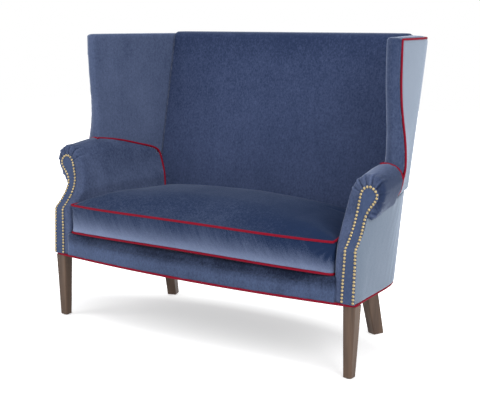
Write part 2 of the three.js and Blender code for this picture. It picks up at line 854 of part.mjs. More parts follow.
function armPad() {
  const start = facingThickness + clearance;
  const rings = [
    ...[-armWrap, 0].map((ahead) => armBlockRing(start + ahead, 0, armTucks[0])),
    ...[1, 2, 3].map((i) => armBlockRing(start + armWrap * (i / 3) ** 2, 0, armTucks[i])),
    ...armRingShares.map((share) => armBlockRing(start + armWrap, share, 0)),
  ];
  const block = toSolid(loft(rings, onSection)).subtract(frontZone(start));
  const wall = start + armFrontWall;
  const hollow = toSolid(loft(
    [0, ...armRingShares, 1 + weltGap / armEndY].map((share, i) => armStation(
      hollowForm,
      i > 0 ? wall : wall - armWrap,
      share,
    )),
    onSection,
  )).subtract(frontZone(wall));
  const under = toSolid(boxBetween(
    [armInnerRear - armReachY, wall - facingForward, 0],
    [armOuterFront + armReachY, armEndY + armReachY, deckTop + seam],
  ));
  const cuts = [
    hollow,
    under,
    wingKeepOut(weltGap + 2 * clearance),
    toSolid(armWelt(clearance)),
    toSolid(armRail(seam)),
  ];
  return toGeometry(cuts.reduce((solid, cut) => solid.subtract(cut), block));
}

// The space behind the face of the back, the wing's inner face and its front band.
function wingKeepOut(gap) {
  const rings = [];
  for (let i = 0; i <= keepOutSteps; i += 1) {
    const z = lerp(bodyBase - seam, wingTop + backTopPad, i / keepOutSteps);
    const inner = wingInnerEdge(z);
    const far = inner.clone().lerp(wingEdge(z), bandReach);
    const face = offsetPath([new THREE.Vector2(0, backFaceY(z)), wingSeam(z), inner, far], -gap);
    const beyond = wingTop;
    const rear = [new THREE.Vector2(face[3].x, beyond), new THREE.Vector2(0, beyond)];
    rings.push([...face, ...rear].map((p) => at(p, z)));
  }
  return toSolid(loft(rings, onPlan));
}

function armFacing() {
  const last = facingLevels.length - 1;
  const sheet = (gap) => (u, v) => {
    const z = facingLevels[Math.round(v * last)];
    const [inner, outer] = facingEdges(z);
    return new THREE.Vector3(lerp(inner, outer, u), facingY(z) + gap, z);
  };
  return slab(sheet(0), sheet(facingThickness), 3, last);
}

function armStump() {
  const gap = facingThickness + armFrontWall + 2 * clearance;
  const top = facingTop - stumpTopInset;
  const levels = [facingBase + clearance, ...facingLevels.filter((z) => z > facingBase && z < top), top];
  const last = levels.length - 1;
  const sheet = (depth) => (u, v) => {
    const z = levels[Math.round(v * last)];
    const [inner, outer] = facingEdges(z);
    const left = inner + (z < deckTop ? stumpInset / 2 : stumpInset);
    const head = smooth(z, kinkHeight + setbackRise / 2, kinkHeight + setbackRise);
    const y = facingY(z) + gap + depth;
    const wall = armWallX(y, z, panelThickness + seam);
    const right = Math.min(outer - lerp(stumpInset, stumpHeadInset, head), wall);
    return new THREE.Vector3(lerp(left, right, u), y, z);
  };
  return slab(sheet(0), sheet(stumpThickness), 2, last);
}

function outsideArm() {
  const surface = (inset) => (u, row) => {
    const v = armPanelShares[Math.round(row * (armPanelShares.length - 1))];
    const yFront = facingY(wingPanelBase);
    const guess = onPlanCurve(armSideCurve(bodyBase, 0), u, cornerSeamAngle);
    const rise = smooth(guess.y, yFront, armReachY);
    const lip = lerp(facingBase, armTopFront, armShares[armShares.length - 1][1]) - panelLipGap;
    const top = lerp(lip, wingPanelBase - seam * 2, rise);
    const z = lerp(bodyBase + weltGap, top, v);
    return at(onPlanCurve(armSideCurve(z, inset), u, cornerSeamAngle), z);
  };
  return slab(surface(0), surface(panelThickness), panelColumns, armPanelShares.length - 1);
}

function wingPanelSheet(inset, low, high, start) {
  return (u, v) => {
    const z = lerp(low, high, v);
    return at(onPlanCurve(wingSideCurve(z, inset), lerp(start, 1, u), cornerSeamAngle), z);
  };
}

function outsideWing() {
  const sheet = (inset) => wingPanelSheet(inset, wingPanelBase, wingTop - weltGap, wingPanelStart);
  const panel = toSolid(slab(sheet(0), sheet(panelThickness), panelColumns, panelRows));
  return toGeometry(panel.subtract(toSolid(crownWelt(clearance))));
}

// The space of the outside wing panel and of all that lies beyond it.
function wingPanelZone(gap, start) {
  const sheet = (inset) => wingPanelSheet(inset, wingPanelBase, wingTop - weltGap, start);
  return toSolid(slab(sheet(-panelBeyond), sheet(panelThickness + gap), panelColumns, panelRows));
}

function outsideBack() {
  const surface = (inset) => (u, v) => {
    const z = backPanelLevels[Math.round(v * (backPanelLevels.length - 1))];
    const start = new THREE.Vector2();
    const curve = planCurve(start, start, start, bodySpread(z), z, inset);
    const side = u < 0.5 ? -1 : 1;
    const share = Math.abs(2 * u - 1);
    const flat = curve.centre.x;
    if (share <= flatShare) {
      return new THREE.Vector3(side * flat * (share / flatShare), curve.centre.y + curve.radius, z);
    }
    const seamAngle = cornerSeamAngle + seam / cornerRadius;
    const angle = lerp(Math.PI / 2, seamAngle, (share - flatShare) / (1 - flatShare));
    return new THREE.Vector3(
      side * (flat + curve.radius * Math.cos(angle)),
      curve.centre.y + curve.radius * Math.sin(angle),
      z,
    );
  };
  return slab(surface(0), surface(panelThickness), panelColumns, backPanelLevels.length - 1);
}

// The outer face of the back at a place across it.
function rearFaceY(x, z, inset) {
  const centreX = halfWidth - cornerInset + bodySpread(z);
  const radius = cornerRadius - inset;
  const past = Math.max(Math.abs(x) - centreX, 0);
  return rearLine - cornerRadius + rearShift(z) + Math.sqrt(Math.max(radius ** 2 - past ** 2, 0));
}

// Profile of the back pad over the crest: front face, rounded edge, top and rear edge.
function backProfile(x, inset, topInset) {
  const faceTop = backTop - backEdgeRadius;
  const base = deckTop + seam;
  const points = [];
  for (let i = 0; i <= faceRows; i += 1) {
    const z = lerp(base, faceTop, i / faceRows);
    points.push(new THREE.Vector2(backFaceY(z) + inset, z));
  }
  const radius = backEdgeRadius - topInset;
  const centreY = backFaceY(faceTop) + backEdgeRadius;
  const reach = Math.max(backEdgeRadius - inset, 0);
  for (let i = 1; i <= edgeRows; i += 1) {
    const turn = (i / edgeRows) * Math.PI / 2;
    points.push(new THREE.Vector2(
      Math.max(centreY - reach * Math.cos(turn), backFaceY(faceTop) + inset),
      faceTop + radius * Math.sin(turn),
    ));
  }
  const rear = rearFaceY(x, wingTop - topInset, panelThickness + seam + topInset / 3);
  const turnY = lerp(points[points.length - 1].x, rear, crestTurnShare);
  points.push(new THREE.Vector2(turnY, backTop - topInset));
  points.push(new THREE.Vector2(rear, backTop - topInset - backTopPad * crestFallShare));
  return points;
}

function insideBack() {
  const wide = wingSeamX - seam;
  const last = backProfile(0, 0, 0).length - 1;
  const sheet = (inset, topInset, crown) => (u, v) => {
    const x = lerp(-wide, wide, u);
    const p = backProfile(x, inset, topInset)[Math.round(v * last)];
    const limit = inset > 0 ? rearFaceY(x, p.y, panelThickness + seam) : Infinity;
    const fade = Math.sin(Math.PI * clamp((v * last) / faceRows, 0, 1));
    const swell = crown * (1 - (2 * u - 1) ** 2) ** 2 * Math.max(fade, 0);
    return new THREE.Vector3(x, Math.min(p.x - swell, limit), p.y);
  };
  const front = sheet(0, 0, backCrown);
  const pad = toSolid(slab(front, sheet(backPadThickness, backTopPad, 0), padColumns, last));
  const welt = armWelt(clearance);
  return toGeometry(pad.subtract(toSolid(welt)).subtract(toSolid(mirrored(welt))));
}

// Plan of the wing between its inner face, its front band and the outside panel, set in from each.
function wingRing(z, { inner = 0, front = 0, side = 0, from = wingSeamX + clearance, top = z }) {
  const face = offsetPath([wingSeam(z), wingInnerEdge(z)], inner);
  const band = offsetPath([wingInnerEdge(z), wingEdge(z)], front);
  const corner = crossing(face, band);
  const curve = wingSideCurve(z, side);
  const endAngle = Math.acos((from - curve.centre.x) / curve.radius);
  const faceAt = (x) => crossing(face, upright(x));
  // The side curve ends at this share, before it would pass the inner face.
  const end = shareWhere(curve, (p) => p.y < faceAt(p.x).y + seam, endAngle);
  const start = faceAt(onPlanCurve(curve, end, endAngle).x);
  const outerFront = crossing(band, upright(curve.side.v0.x));
  const ring = faceShares.map((share) => start.clone().lerp(corner, share));
  if (front > 0) {
    ring.push(corner, corner.clone().lerp(outerFront, 0.5));
  } else {
    const before = corner.clone().lerp(start, wingEdgeRound / corner.distanceTo(start));
    const after = corner.clone().lerp(outerFront, wingEdgeRound / corner.distanceTo(outerFront));
    const bend = new THREE.QuadraticBezierCurve(before, corner, after);
    ring.push(...bendShares.map((t) => bend.getPoint(t)));
  }
  ring.push(outerFront);
  const lead = shareWhere(curve, (p) => p.y > outerFront.y, endAngle) + wingEdgeLead;
  for (let i = 1; i <= wingSideSteps; i += 1) {
    ring.push(onPlanCurve(curve, lerp(lead, end, i / wingSideSteps), endAngle));
  }
  return ring.map((p) => at(p, top));
}

function upright(x) {
  return [new THREE.Vector2(x, 0), new THREE.Vector2(x, halfWidth)];
}

function crossing(a, b) {
  const d = a[1].clone().sub(a[0]);
  const e = b[1].clone().sub(b[0]);
  const t = (b[0].clone().sub(a[0])).cross(e) / d.cross(e);
  return a[0].clone().addScaledVector(d, t);
}

function wingLoft(heights, inset) {
  return toSolid(loft(heights.map((z) => wingRing(z, inset)), onPlan));
}

function wingPad() {
  const side = panelThickness + seam;
  const heights = [wingPadBase, ...wingLevels, wingTop - backTopPad / 2];
  const rings = heights.map((z) => wingRing(z, { side }));
  const rounded = { inner: wingTopRound, side: side + wingTopRound, top: wingTop + weltRadius };
  rings.push(wingRing(wingTop, rounded));
  const hollow = wingLoft([wingPadBase - seam, ...wingLevels, wingTop - wingTopPad], {
    inner: wingPadThickness,
    front: wingFrontPad,
    side: -panelThickness,
  });
  const cuts = [
    hollow,
    wingPanelZone(seam, wingPanelStart),
    toSolid(armRail(seam)),
    toSolid(crestRail(seam)),
    toSolid(armWelt(clearance)),
  ];
  return toGeometry(cuts.reduce((solid, cut) => solid.subtract(cut), toSolid(loft(rings, onPlan))));
}

// Board behind the wing's inside, with the cap that closes the wing's top.
function wingFrame() {
  const from = crestHalf + clearance;
  const heights = [...wingLevels.slice(1), wingTop - wingTopPad - seam];
  const block = wingLoft(heights, {
    inner: wingPadThickness + seam,
    front: wingFrontPad + seam,
    side: panelThickness + wingBoardGap,
    from,
  });
  const last = heights.length - 1;
  const under = [heights[0] - seam, ...heights.slice(1, last), heights[last] - wingCapThickness];
  const hollow = wingLoft(under, {
    inner: wingPadThickness + seam + wingBoardThickness,
    front: wingFrontPad + seam + wingBoardThickness,
    side: -panelThickness,
    from: crestHalf + wingUprightWidth,
  });
  return toGeometry(block.subtract(hollow).subtract(wingPanelZone(2 * seam, 0)));
}

// A sawn rail of rectangular section along the arm, from the stump to the wing post.
function armRail(grow) {
  const front = facingY(armRailZ) + facingThickness + armFrontWall + stumpThickness + 3 * clearance;
  const headInset = panelThickness + wingPostHeadGap + wingPostWidth / 2;
  const endX = armWallX(wingPostY, wingPanelBase, headInset) - armRailEndShift;
  const path = armRailShares.map(([back, inwards, up]) => new THREE.Vector3(
    lerp(armRailX, endX, inwards),
    lerp(front, wingPostY + armRailEndLap, back),
    armRailZ + up * armRailRise,
  ));
  const halfHeight = armRailHeight / 2 + grow;
  const rings = path.map((p, i) => {
    const before = path[Math.max(i - 1, 0)];
    const after = path[Math.min(i + 1, path.length - 1)];
    const along = new THREE.Vector2(after.x - before.x, after.y - before.y).normalize();
    const half = armRailWidth / 2 + grow;
    const over = new THREE.Vector2(along.y * half, -along.x * half);
    const end = i === 0 ? -grow : grow;
    const y = i === 0 || i === path.length - 1 ? p.y + end : p.y;
    const ends = i === 0 ? 0 : 1;
    return [[-1, -1], [1, -1], [1, 1], [-1, 1]].map(([a, b]) => new THREE.Vector3(
      p.x + a * over.x,
      y + a * over.y * ends,
      p.z + b * halfHeight,
    ));
  });
  return loft(rings, onSection);
}

function wingPost() {
  const foot = sideRailTop + clearance;
  const head = armRailZ + armRailRise - armRailHeight / 2 - clearance;
  const ring = (wallZ, inset, z) => {
    const [near, far] = [-1, 1].map((end) => {
      const y = wingPostY + (end * wingPostDepth) / 2;
      return new THREE.Vector2(armWallX(y, wallZ, inset), y);
    });
    const along = far.clone().sub(near).normalize();
    const inwards = new THREE.Vector2(-along.y, along.x).multiplyScalar(wingPostWidth);
    return [near, far, far.clone().add(inwards), near.clone().add(inwards)].map((p) => at(p, z));
  };
  const headInset = panelThickness + wingPostHeadGap;
  return loft([ring(bodyBase, railSetIn + seam, foot), ring(wingPanelBase, headInset, head)], onPlan);
}

// Front of the body
function frontLine(x, z) {
  const bow = lerp(frontBow, borderBowTop, clamp((z - bodyBase) / (deckTop - bodyBase), 0, 1));
  return -bow * (1 - (x / halfWidth) ** 2);
}

function frontBorder() {
  const low = bodyBase + weltGap;
  const turnZ = deckTop - borderEdgeRadius;
  const innerRadius = borderEdgeRadius - borderLipThickness;
  const wide = armInnerFront - seam;
  const walls = borderWallShares.map((t) => [0, lerp(low, turnZ, t)]);
  const bends = borderBendShares.map((rise) => [
    borderEdgeRadius * (1 - Math.sqrt(1 - rise ** 2)),
    turnZ + borderEdgeRadius * rise,
  ]);
  const outer = [...walls, ...bends, [borderLip, deckTop]];
  const inner = outer.map(([, z], i) => {
    if (i < walls.length) return [borderThickness, z];
    if (i === outer.length - 1) return [borderLip, deckTop - borderLipThickness];
    const rise = borderBendShares[i - walls.length];
    return [borderThickness + innerRadius * (1 - Math.sqrt(1 - rise ** 2)), turnZ + innerRadius * rise];
  });
  const last = outer.length - 1;
  const sheet = (profile) => (u, v) => {
    const [depth, z] = profile[Math.round(v * last)];
    const x = lerp(-wide, wide, u);
    return new THREE.Vector3(x, frontLine(x, z) + depth, z);
  };
  return slab(sheet(outer), sheet(inner), panelColumns, last);
}

// Seat frame
const sideRailStart = () => facingY(sideRailTop) + facingThickness + armFrontWall
  + stumpThickness + 3 * clearance;

function frontRail() {
  const sideInner = armWallX(sideRailStart(), bodyBase, railSetIn + railThickness);
  const wide = Math.min(facingX + stumpInset / 2 - 2 * seam, sideInner - seam);
  const sheet = (depth) => (u, v) => {
    const x = lerp(-wide, wide, u);
    const z = lerp(railBottom, springRailTop, v);
    return new THREE.Vector3(x, frontLine(x, z) + borderThickness + railGap + depth, z);
  };
  return slab(sheet(0), sheet(railThickness), panelColumns, 1);
}

function sideRail() {
  const start = sideRailStart();
  const end = postX + postWidth + clearance;
  const sheet = (inset) => {
    const curve = armSideCurve(bodyBase, inset);
    const from = shareWhere(curve, (p) => p.y > start);
    const to = shareWhere(curve, (p) => p.x < end);
    const place = (u) => onPlanCurve(curve, lerp(from, to, u), Math.PI / 2);
    return (u, v) => at(place(u), lerp(railBottom, sideRailTop, v));
  };
  return slab(sheet(railSetIn), sheet(railSetIn + railThickness), railColumns, 1);
}

// A straight piece that leans back with the rake of the back.
function rakedBar(x0, x1, lineY, depth, z0, z1) {
  const ring = (z) => [[x0, 0], [x1, 0], [x1, depth], [x0, depth]].map(
    ([x, d]) => new THREE.Vector3(x, lineY(z) + d, z),
  );
  return loft([ring(z0), ring(z1)], onPlan);
}

const backFrameY = (z) => backFaceY(z) + backFrameLead;
const rearRailY = (z) => rearLine + rearShift(z) - panelThickness - rearRailSetIn - railThickness;

function rearRail() {
  const wide = postX - clearance;
  return rakedBar(-wide, wide, rearRailY, railThickness, railBottom, springRailTop);
}

function rearPost() {
  return rakedBar(postX, postX + postWidth, backFrameY, postDepth, railBottom, postTop);
}

function lowerBackRail() {
  const wide = postX - clearance;
  return rakedBar(-wide, wide, backFrameY, backRailDepth, lowerRailBase, lowerRailBase + lowerRailHeight);
}

function crestRail(grow) {
  const wide = crestHalf + grow;
  const place = (u, v) => {
    const z = lerp(postTop + clearance - grow, crestTop + grow, v);
    return new THREE.Vector3(lerp(-wide, wide, u), backFrameY(z) - grow, z);
  };
  const rear = (u, v) => {
    const p = place(u, v);
    const limit = rearFaceY(p.x, p.z, panelThickness + crestBack);
    return new THREE.Vector3(p.x, Math.min(p.y + crestDepth, limit) + 2 * grow, p.z);
  };
  return slab(rear, place, padColumns, 1);
}

function backStrap(i) {
  const x = (i - (strapCount - 1) / 2) * postX * strapSpread;
  const line = (z) => backFaceY(z) + backPadThickness + strapGap;
  const half = strapWidth / 2;
  return rakedBar(x - half, x + half, line, strapThickness, lowerRailBase + seam, crestTop - seam);
}

function centreBrace() {
  const front = frontLine(0, braceTop) + borderThickness + railGap + railThickness + clearance;
  const rear = rearRailY(railBottom) - clearance;
  return boxBetween([-braceWidth / 2, front, railBottom], [braceWidth / 2, rear, braceTop]);
}

// Sinuous spring: flat bends that run from the front rail to the rear rail.
function seatSpring(i) {
  const x = (i - (springCount - 1) / 2) * springSpacing;
  const front = frontLine(x, springRailTop) + borderThickness + railThickness / 3;
  const rear = rearRailY(springRailTop) + (2 * railThickness) / 3;
  const bends = Math.round((rear - front) / springPitch);
  const low = springRailTop + clearance + springWire / 2;
  const points = [];
  for (let k = 0; k <= bends; k += 1) {
    const side = k % 2 === 0 ? -1 : 1;
    for (const lag of [-springLag, springLag]) {
      const share = clamp((k + lag) / bends, 0, 1);
      const y = lerp(front, rear, share);
      const z = low + springArch * Math.sin(Math.PI * share);
      points.push(new THREE.Vector3(x + (side * springWidth) / 2, y, z));
    }
  }
  return cord(points, springWire / 2, wireSides);
}

function trimmed(plan, z0, z1, cutters) {
  const ring = (z) => plan.map(([x, y]) => new THREE.Vector3(x, y, z));
  const block = toSolid(loft([ring(z0), ring(z1)], onPlan));
  return toGeometry(cutters.reduce((solid, cutter) => solid.subtract(toSolid(cutter)), block));
}

function frontBlock() {
  const near = facingX + stumpInset / 2 - 2 * seam;
  const back = facingY(facingBase) + stumpThickness;
  const plan = [[near, back], [near, back + blockLeg], [near - blockLeg, back]];
  const rail = frontRail();
  const side = sideRail();
  return trimmed(plan, railBottom, blockTop, [
    rail, rail.clone().translate(0, clearance, 0), mirrored(rail).translate(0, clearance, 0),
    side, side.clone().translate(-clearance, 0, 0),
  ]);
}

function rearBlock() {
  const back = backFrameY(railBottom) - clearance;
  const near = back - rearBlockDepth;
  const far = postX + rearBlockWidth;
  const plan = [[postX, back], [postX, near], [far, near], [far, back]];
  const side = sideRail();
  return trimmed(plan, railBottom, blockTop, [
    side, side.clone().translate(-clearance, 0, 0), side.clone().translate(0, -clearance, 0),
  ]);
}

function deckLimit(y) {
  const curve = armSideCurve(bodyBase, railSetIn + railThickness - deckOverlap);
  const share = shareWhere(curve, (p) => p.y > y);
  return Math.min(onPlanCurve(curve, share, Math.PI / 2).x, facingX + weltInset);
}

function seatDeck() {
  const rear = backFrameY(deckTop - deckThickness) - seam;
  const sheet = (z) => (u, v) => {
    const edgeY = lerp(frontLine(armInnerFront, z) + borderLip, rear, v);
    const x = lerp(-1, 1, u) * deckLimit(edgeY);
    const front = frontLine(Math.min(Math.abs(x), armInnerFront), deckTop) + borderLip + deckFrontGap;
    return new THREE.Vector3(x, lerp(front, rear, v), z);
  };
  return slab(sheet(deckTop), sheet(deckTop - deckThickness), deckColumns, deckRows);
}

// Outline of the body in plan, from the middle of the front round the right side to the middle
// of the back, at an inset from the outer face.
function halfOutline(inset, z) {
  const points = [];
  const reach = halfWidth - inset;
  for (let i = 0; i <= outlineFrontSteps; i += 1) {
    const x = lerp(0, reach - weltInset * 2, i / outlineFrontSteps);
    points.push(new THREE.Vector2(x, frontLine(x, bodyBase) + inset));
  }
  const curve = armSideCurve(bodyBase, inset);
  curve.side.v0.set(reach, inset + weltInset * 2);
  for (let i = 0; i <= outlineSideSteps; i += 1) {
    points.push(onPlanCurve(curve, i / outlineSideSteps, Math.PI / 2));
  }
  return points.map((p) => at(p, z));
}

function fullOutline(inset, z) {
  const half = halfOutline(inset, z);
  const left = half.slice(1).reverse().map((p) => new THREE.Vector3(-p.x, p.y, p.z));
  return [...half, ...left];
}

function dustCover() {
  const inset = dustInset;
  return loft([fullOutline(inset, bodyBase), fullOutline(inset, bodyBase + dustThickness)], onPlan);
}

function baseWelt() {
  return closedCord(fullOutline(weltInset, bodyBase + weltRadius + clearance), weltRadius, weltSides);
}

// Piping up the wing's front edge, round its top and across the top of the back.
function crownWelt(grow) {
  const top = wingTop - weltRadius - clearance;
  const heights = crownWeltShares.map((t) => lerp(wingPanelBase + weltRadius, top - weltRadius, t));
  const half = heights.map((z) => {
    const edge = wingEdge(z);
    return new THREE.Vector3(edge.x - weltInset, edge.y + weltInset + clearance, z);
  });
  const curve = wingSideCurve(top, weltInset);
  for (const share of [weltInset / armReachY, ...crownSideShares]) {
    half.push(at(onPlanCurve(curve, share, cornerSeamAngle), top));
  }
  for (const share of crownRearShares) {
    const turn = lerp(cornerSeamAngle, Math.PI / 2, share);
    half.push(new THREE.Vector3(
      curve.centre.x + curve.radius * Math.cos(turn),
      curve.centre.y + curve.radius * Math.sin(turn),
      top,
    ));
  }
  const left = half.map((p) => new THREE.Vector3(-p.x, p.y, p.z)).reverse();
  return cord([...half, ...left], weltRadius + grow, weltSides);
}

// Height of the arm's upper surface at a place.
function armSurfaceZ(x, y) {
  const line = armSection(armForm, y).slice(armInsideCount, armRiseCount + 3);
  for (let i = 0; i + 1 < line.length; i += 1) {
    if (x >= line[i].x && x <= line[i + 1].x) {
      return lerp(line[i].y, line[i + 1].y, (x - line[i].x) / (line[i + 1].x - line[i].x));
    }
  }
  return x < line[0].x ? line[0].y : line[line.length - 1].y;
}

function armFaceX(y, z) {
  const line = armSection(armForm, y).slice(0, armRiseCount);
  for (let i = 0; i + 1 < line.length; i += 1) {
    if (z >= line[i].y && z <= line[i + 1].y) {
      return lerp(line[i].x, line[i + 1].x, (z - line[i].y) / (line[i + 1].y - line[i].y));
    }
  }
  return line[0].x;
}

// Piping where the arm meets the wing and the back, sunk in the gap between their pads.
function armWelt(grow) {
  const gap = weltGap / 2 + clearance;
  const points = [];
  const bandAt = (x, z) => {
    const inner = wingInnerEdge(z);
    const path = offsetPath([inner, inner.clone().lerp(wingEdge(z), bandReach)], -gap);
    const t = (x - path[0].x) / (path[1].x - path[0].x);
    return lerp(path[0].y, path[1].y, t);
  };
  const section = armSection(armForm, armReachY);
  for (let i = section.length - 1; i >= armRiseCount; i -= 1) {
    const p = section[i];
    points.push(new THREE.Vector3(p.x, bandAt(p.x, p.y), p.y));
  }
  const crest = section[armRiseCount].y;
  const corner = offsetPath([wingSeam(crest), wingInnerEdge(crest), wingEdge(crest)], -gap)[1];
  for (const share of weltWingShares) {
    let z = crest;
    let p = corner;
    for (let k = 0; k < weltPasses; k += 1) {
      const path = offsetPath([new THREE.Vector2(0, backFaceY(z)), wingSeam(z), wingInnerEdge(z)], -gap);
      p = corner.clone().lerp(path[1], share);
      z = armSurfaceZ(p.x, p.y);
    }
    points.push(new THREE.Vector3(p.x, p.y, z));
  }
  const join = points[points.length - 1].z;
  for (const share of weltBackShares) {
    const z = lerp(join, deckTop + weltRadius, share);
    const y = backFaceY(z) - gap;
    points.push(new THREE.Vector3(Math.min(armFaceX(y, z), points[points.length - 1].x), y, z));
  }
  return cord(points, weltRadius + grow, weltSides);
}

// Legs
function taperedLeg(top, foot) {
  const edge = (half) => half - legEdge;
  const ring = ({ x, y, z, width, depth, turn }) => {
    const w = width / 2;
    const d = depth / 2;
    const plan = [
      [w, -edge(d)], [w, edge(d)], [edge(w), d], [-edge(w), d],
      [-w, edge(d)], [-w, -edge(d)], [-edge(w), -d], [edge(w), -d],
    ];
    return plan.map(([a, b]) => new THREE.Vector3(
      x + a * Math.cos(turn) - b * Math.sin(turn),
      y + a * Math.sin(turn) + b * Math.cos(turn),
      z,
    ));
  };
  return loft([ring(foot), ring(top)], onPlan);
}

const legTopZ = bodyBase - clearance;
const legFootZ = glideHeight + clearance;

function frontLeg() {
  const top = {
    x: halfWidth - frontLegInsetX - frontLegTop / 2,
    y: frontLegInsetY + frontLegTop / 2,
    z: legTopZ,
    width: frontLegTop,
    depth: frontLegTop,
    turn: 0,
  };
  const foot = {
    x: halfWidth - frontFootInsetX - frontLegFoot / 2,
    y: frontFootInsetY + frontLegFoot / 2,
    z: legFootZ,
    width: frontLegFoot,
    depth: frontLegFoot,
    turn: 0,
  };
  return taperedLeg(top, foot);
}

function rearLeg() {
  const top = {
    x: rearLegX,
    y: rearLegY,
    z: legTopZ,
    width: rearLegTopWidth,
    depth: rearLegTopDepth,
    turn: rearLegTurn,
  };
  const foot = {
    x: rearFootX,
    y: rearFootY,
    z: legFootZ,
    width: rearFootWidth,
    depth: rearFootDepth,
    turn: rearLegTurn,
  };
  return taperedLeg(top, foot);
}

function glide(x, y) {
  const disc = new THREE.CylinderGeometry(glideRadius, glideRadius, glideHeight, glideSides);
  return disc.rotateX(Math.PI / 2).translate(x, y, glideHeight / 2);
}

// Cushion
function cushionHalfAt(y, inset) {
  const back = (y - cushionFrontY) / (cushionRearY - cushionFrontY);
  return lerp(cushionHalfFront, cushionHalfRear, back) - inset;
}

// One side of the cushion in plan, from its front corner to its rear corner.
function cushionSide(inset) {
  const corner = cushionCorner / 2;
  const points = [];
  for (let i = 1; i <= cushionSideSteps; i += 1) {
    const back = (i - 1) / (cushionSideSteps - 1);
    const y = lerp(cushionFrontY + corner, cushionRearY - corner, back);
    const ends = (i === 1 ? inset : 0) - (i === cushionSideSteps ? inset : 0);
    points.push([cushionHalfAt(y, inset), y + ends]);
  }
  return points;
}

function cushionOutline(inset) {
  const frontHalf = cushionHalfAt(cushionFrontY, inset) - cushionCorner / 2;
  const rearHalf = cushionHalfAt(cushionRearY, inset) - cushionCorner / 2;
  const side = cushionSide(inset);
  const front = [];
  const rear = [];
  for (let i = -cushionFrontSteps; i <= cushionFrontSteps; i += 1) {
    front.push([(frontHalf * i) / cushionFrontSteps, cushionFrontY + inset]);
    rear.push([(-rearHalf * i) / cushionFrontSteps, cushionRearY - inset]);
  }
  const otherSide = side.map(([x, y]) => [-x, y]).reverse();
  return [...front, ...side, ...rear, ...otherSide];
}

function cushionBow(x, height) {
  return lerp(cushionBowBottom, cushionBowTop, height) * (1 - Math.abs(x / cushionHalfFront) ** bowPower);
}

function cushionRing(scale, z, height, inset) {
  const middleY = (cushionFrontY + cushionRearY) / 2;
  return cushionOutline(inset).map(([x, y]) => {
    const front = 1 - smooth(y, cushionFrontY, middleY);
    const lean = rake * Math.max(cushionTop - z, 0) * smooth(y, middleY, cushionRearY);
    const bowed = y - cushionBow(x, height) * front - lean;
    const onBoxing = scale === 1 ? 1 : scale ** crownPower;
    const rise = cushionMidRise * (1 - (x / cushionHalfFront) ** 2) * onBoxing;
    return new THREE.Vector3(x * scale, middleY + (bowed - middleY) * scale, z + rise);
  });
}

function cushionBody(inset) {
  const edge = weltRadius + seam + inset;
  const low = cushionBottom + inset;
  const high = cushionTop - inset;
  const crownAt = (s) => high + cushionCrown * (1 - s ** crownPower);
  const bellyAt = (s) => deckTop + clearance + inset + cushionBelly * s ** bellyPower;
  const rings = [
    ...bellyShares.map((s) => cushionRing(s, bellyAt(s), 0, edge)),
    cushionRing(1, low, 0, edge),
    ...boxingShares.map((t) => cushionRing(1, lerp(low, high, t), t, edge + cushionDrawIn)),
    cushionRing(1, high, 1, edge),
    cushionRing(1, high + weltRadius - seam, 1, edge + 2 * seam),
    ...crownShares.map((s) => cushionRing(s, crownAt(s), 1, edge)),
  ];
  return loft(rings, onPlan);
}

function cushionCover() {
  const outer = toSolid(cushionBody(0));
  const inner = toSolid(cushionBody(coverThickness));
  const wide = cushionHalfRear * zipShare;
  const middle = (cushionBottom + cushionTop) / 2;
  const inside = (cushionFrontY + cushionRearY) / 2;
  const zip = toSolid(boxBetween(
    [-wide, inside, middle - zipOpening / 2],
    [wide, cushionRearY + cushionCorner, middle + zipOpening / 2],
  ));
  return toGeometry(outer.subtract(inner).subtract(zip));
}

function cushionCore() {
  return cushionBody(coverThickness + seam);
}

function cushionWelt(z, height) {
  return closedCord(cushionRing(1, z, height, 0), weltRadius, weltSides);
}

function build() {
  addPair('front_leg', frontLeg(), walnut());
  addPair('rear_leg', rearLeg(), walnut());
  const footX = halfWidth - frontFootInsetX - frontLegFoot / 2;
  addPair('front_glide', glide(footX, frontFootInsetY + frontLegFoot / 2), nylon());
  addPair('rear_glide', glide(rearFootX, rearFootY), nylon());
  addPiece('front_rail', frontRail(), frameWood());
  addPiece('rear_rail', rearRail(), frameWood());
  addPair('side_rail', sideRail(), frameWood());
  addPiece('centre_brace', centreBrace(), frameWood());
  addPair('front_corner_block', frontBlock(), frameWood());
  addPair('rear_corner_block', rearBlock(), frameWood());
  addPair('arm_stump', armStump(), frameWood());
  addPair('arm_rail', armRail(0), frameWood());
  addPair('wing_post', wingPost(), frameWood());
  addPair('wing_frame', wingFrame(), frameWood());
  addPair('rear_post', rearPost(), frameWood());
  addPiece('crest_rail', crestRail(0), frameWood());
  addPiece('lower_back_rail', lowerBackRail(), frameWood());
  for (let i = 0; i < strapCount; i += 1) addPiece('back_strap_' + (i + 1), backStrap(i), jute());
  for (let i = 0; i < springCount; i += 1) addPiece('seat_spring_' + (i + 1), seatSpring(i), springSteel());
  addPiece('seat_deck', seatDeck(), upholstery());
  addPiece('dust_cover', dustCover(), cambric());
  addPiece('front_border', frontBorder(), upholstery());
  addPiece('inside_back_pad', insideBack(), upholstery());
  addPiece('outside_back_panel', outsideBack(), upholstery());
  addPair('arm_pad', armPad(), upholstery());
  addPair('arm_facing', armFacing(), upholstery());
  addPair('outside_arm_panel', outsideArm(), upholstery());
  addPair('wing_pad', wingPad(), upholstery());
  addPair('outside_wing_panel', outsideWing(), upholstery());
  addPiece('base_welt', baseWelt(), contrastWelt());
  addPiece('crown_welt', crownWelt(0), contrastWelt());
  addPair('arm_welt', armWelt(0), contrastWelt());
  addPiece('cushion_core', cushionCore(), foam());
  addPiece('cushion_cover', cushionCover(), upholstery());
  addPiece('cushion_welt_top', cushionWelt(cushionTop, 1), contrastWelt());
  addPiece('cushion_welt_bottom', cushionWelt(cushionBottom, 0), contrastWelt());
}

build();

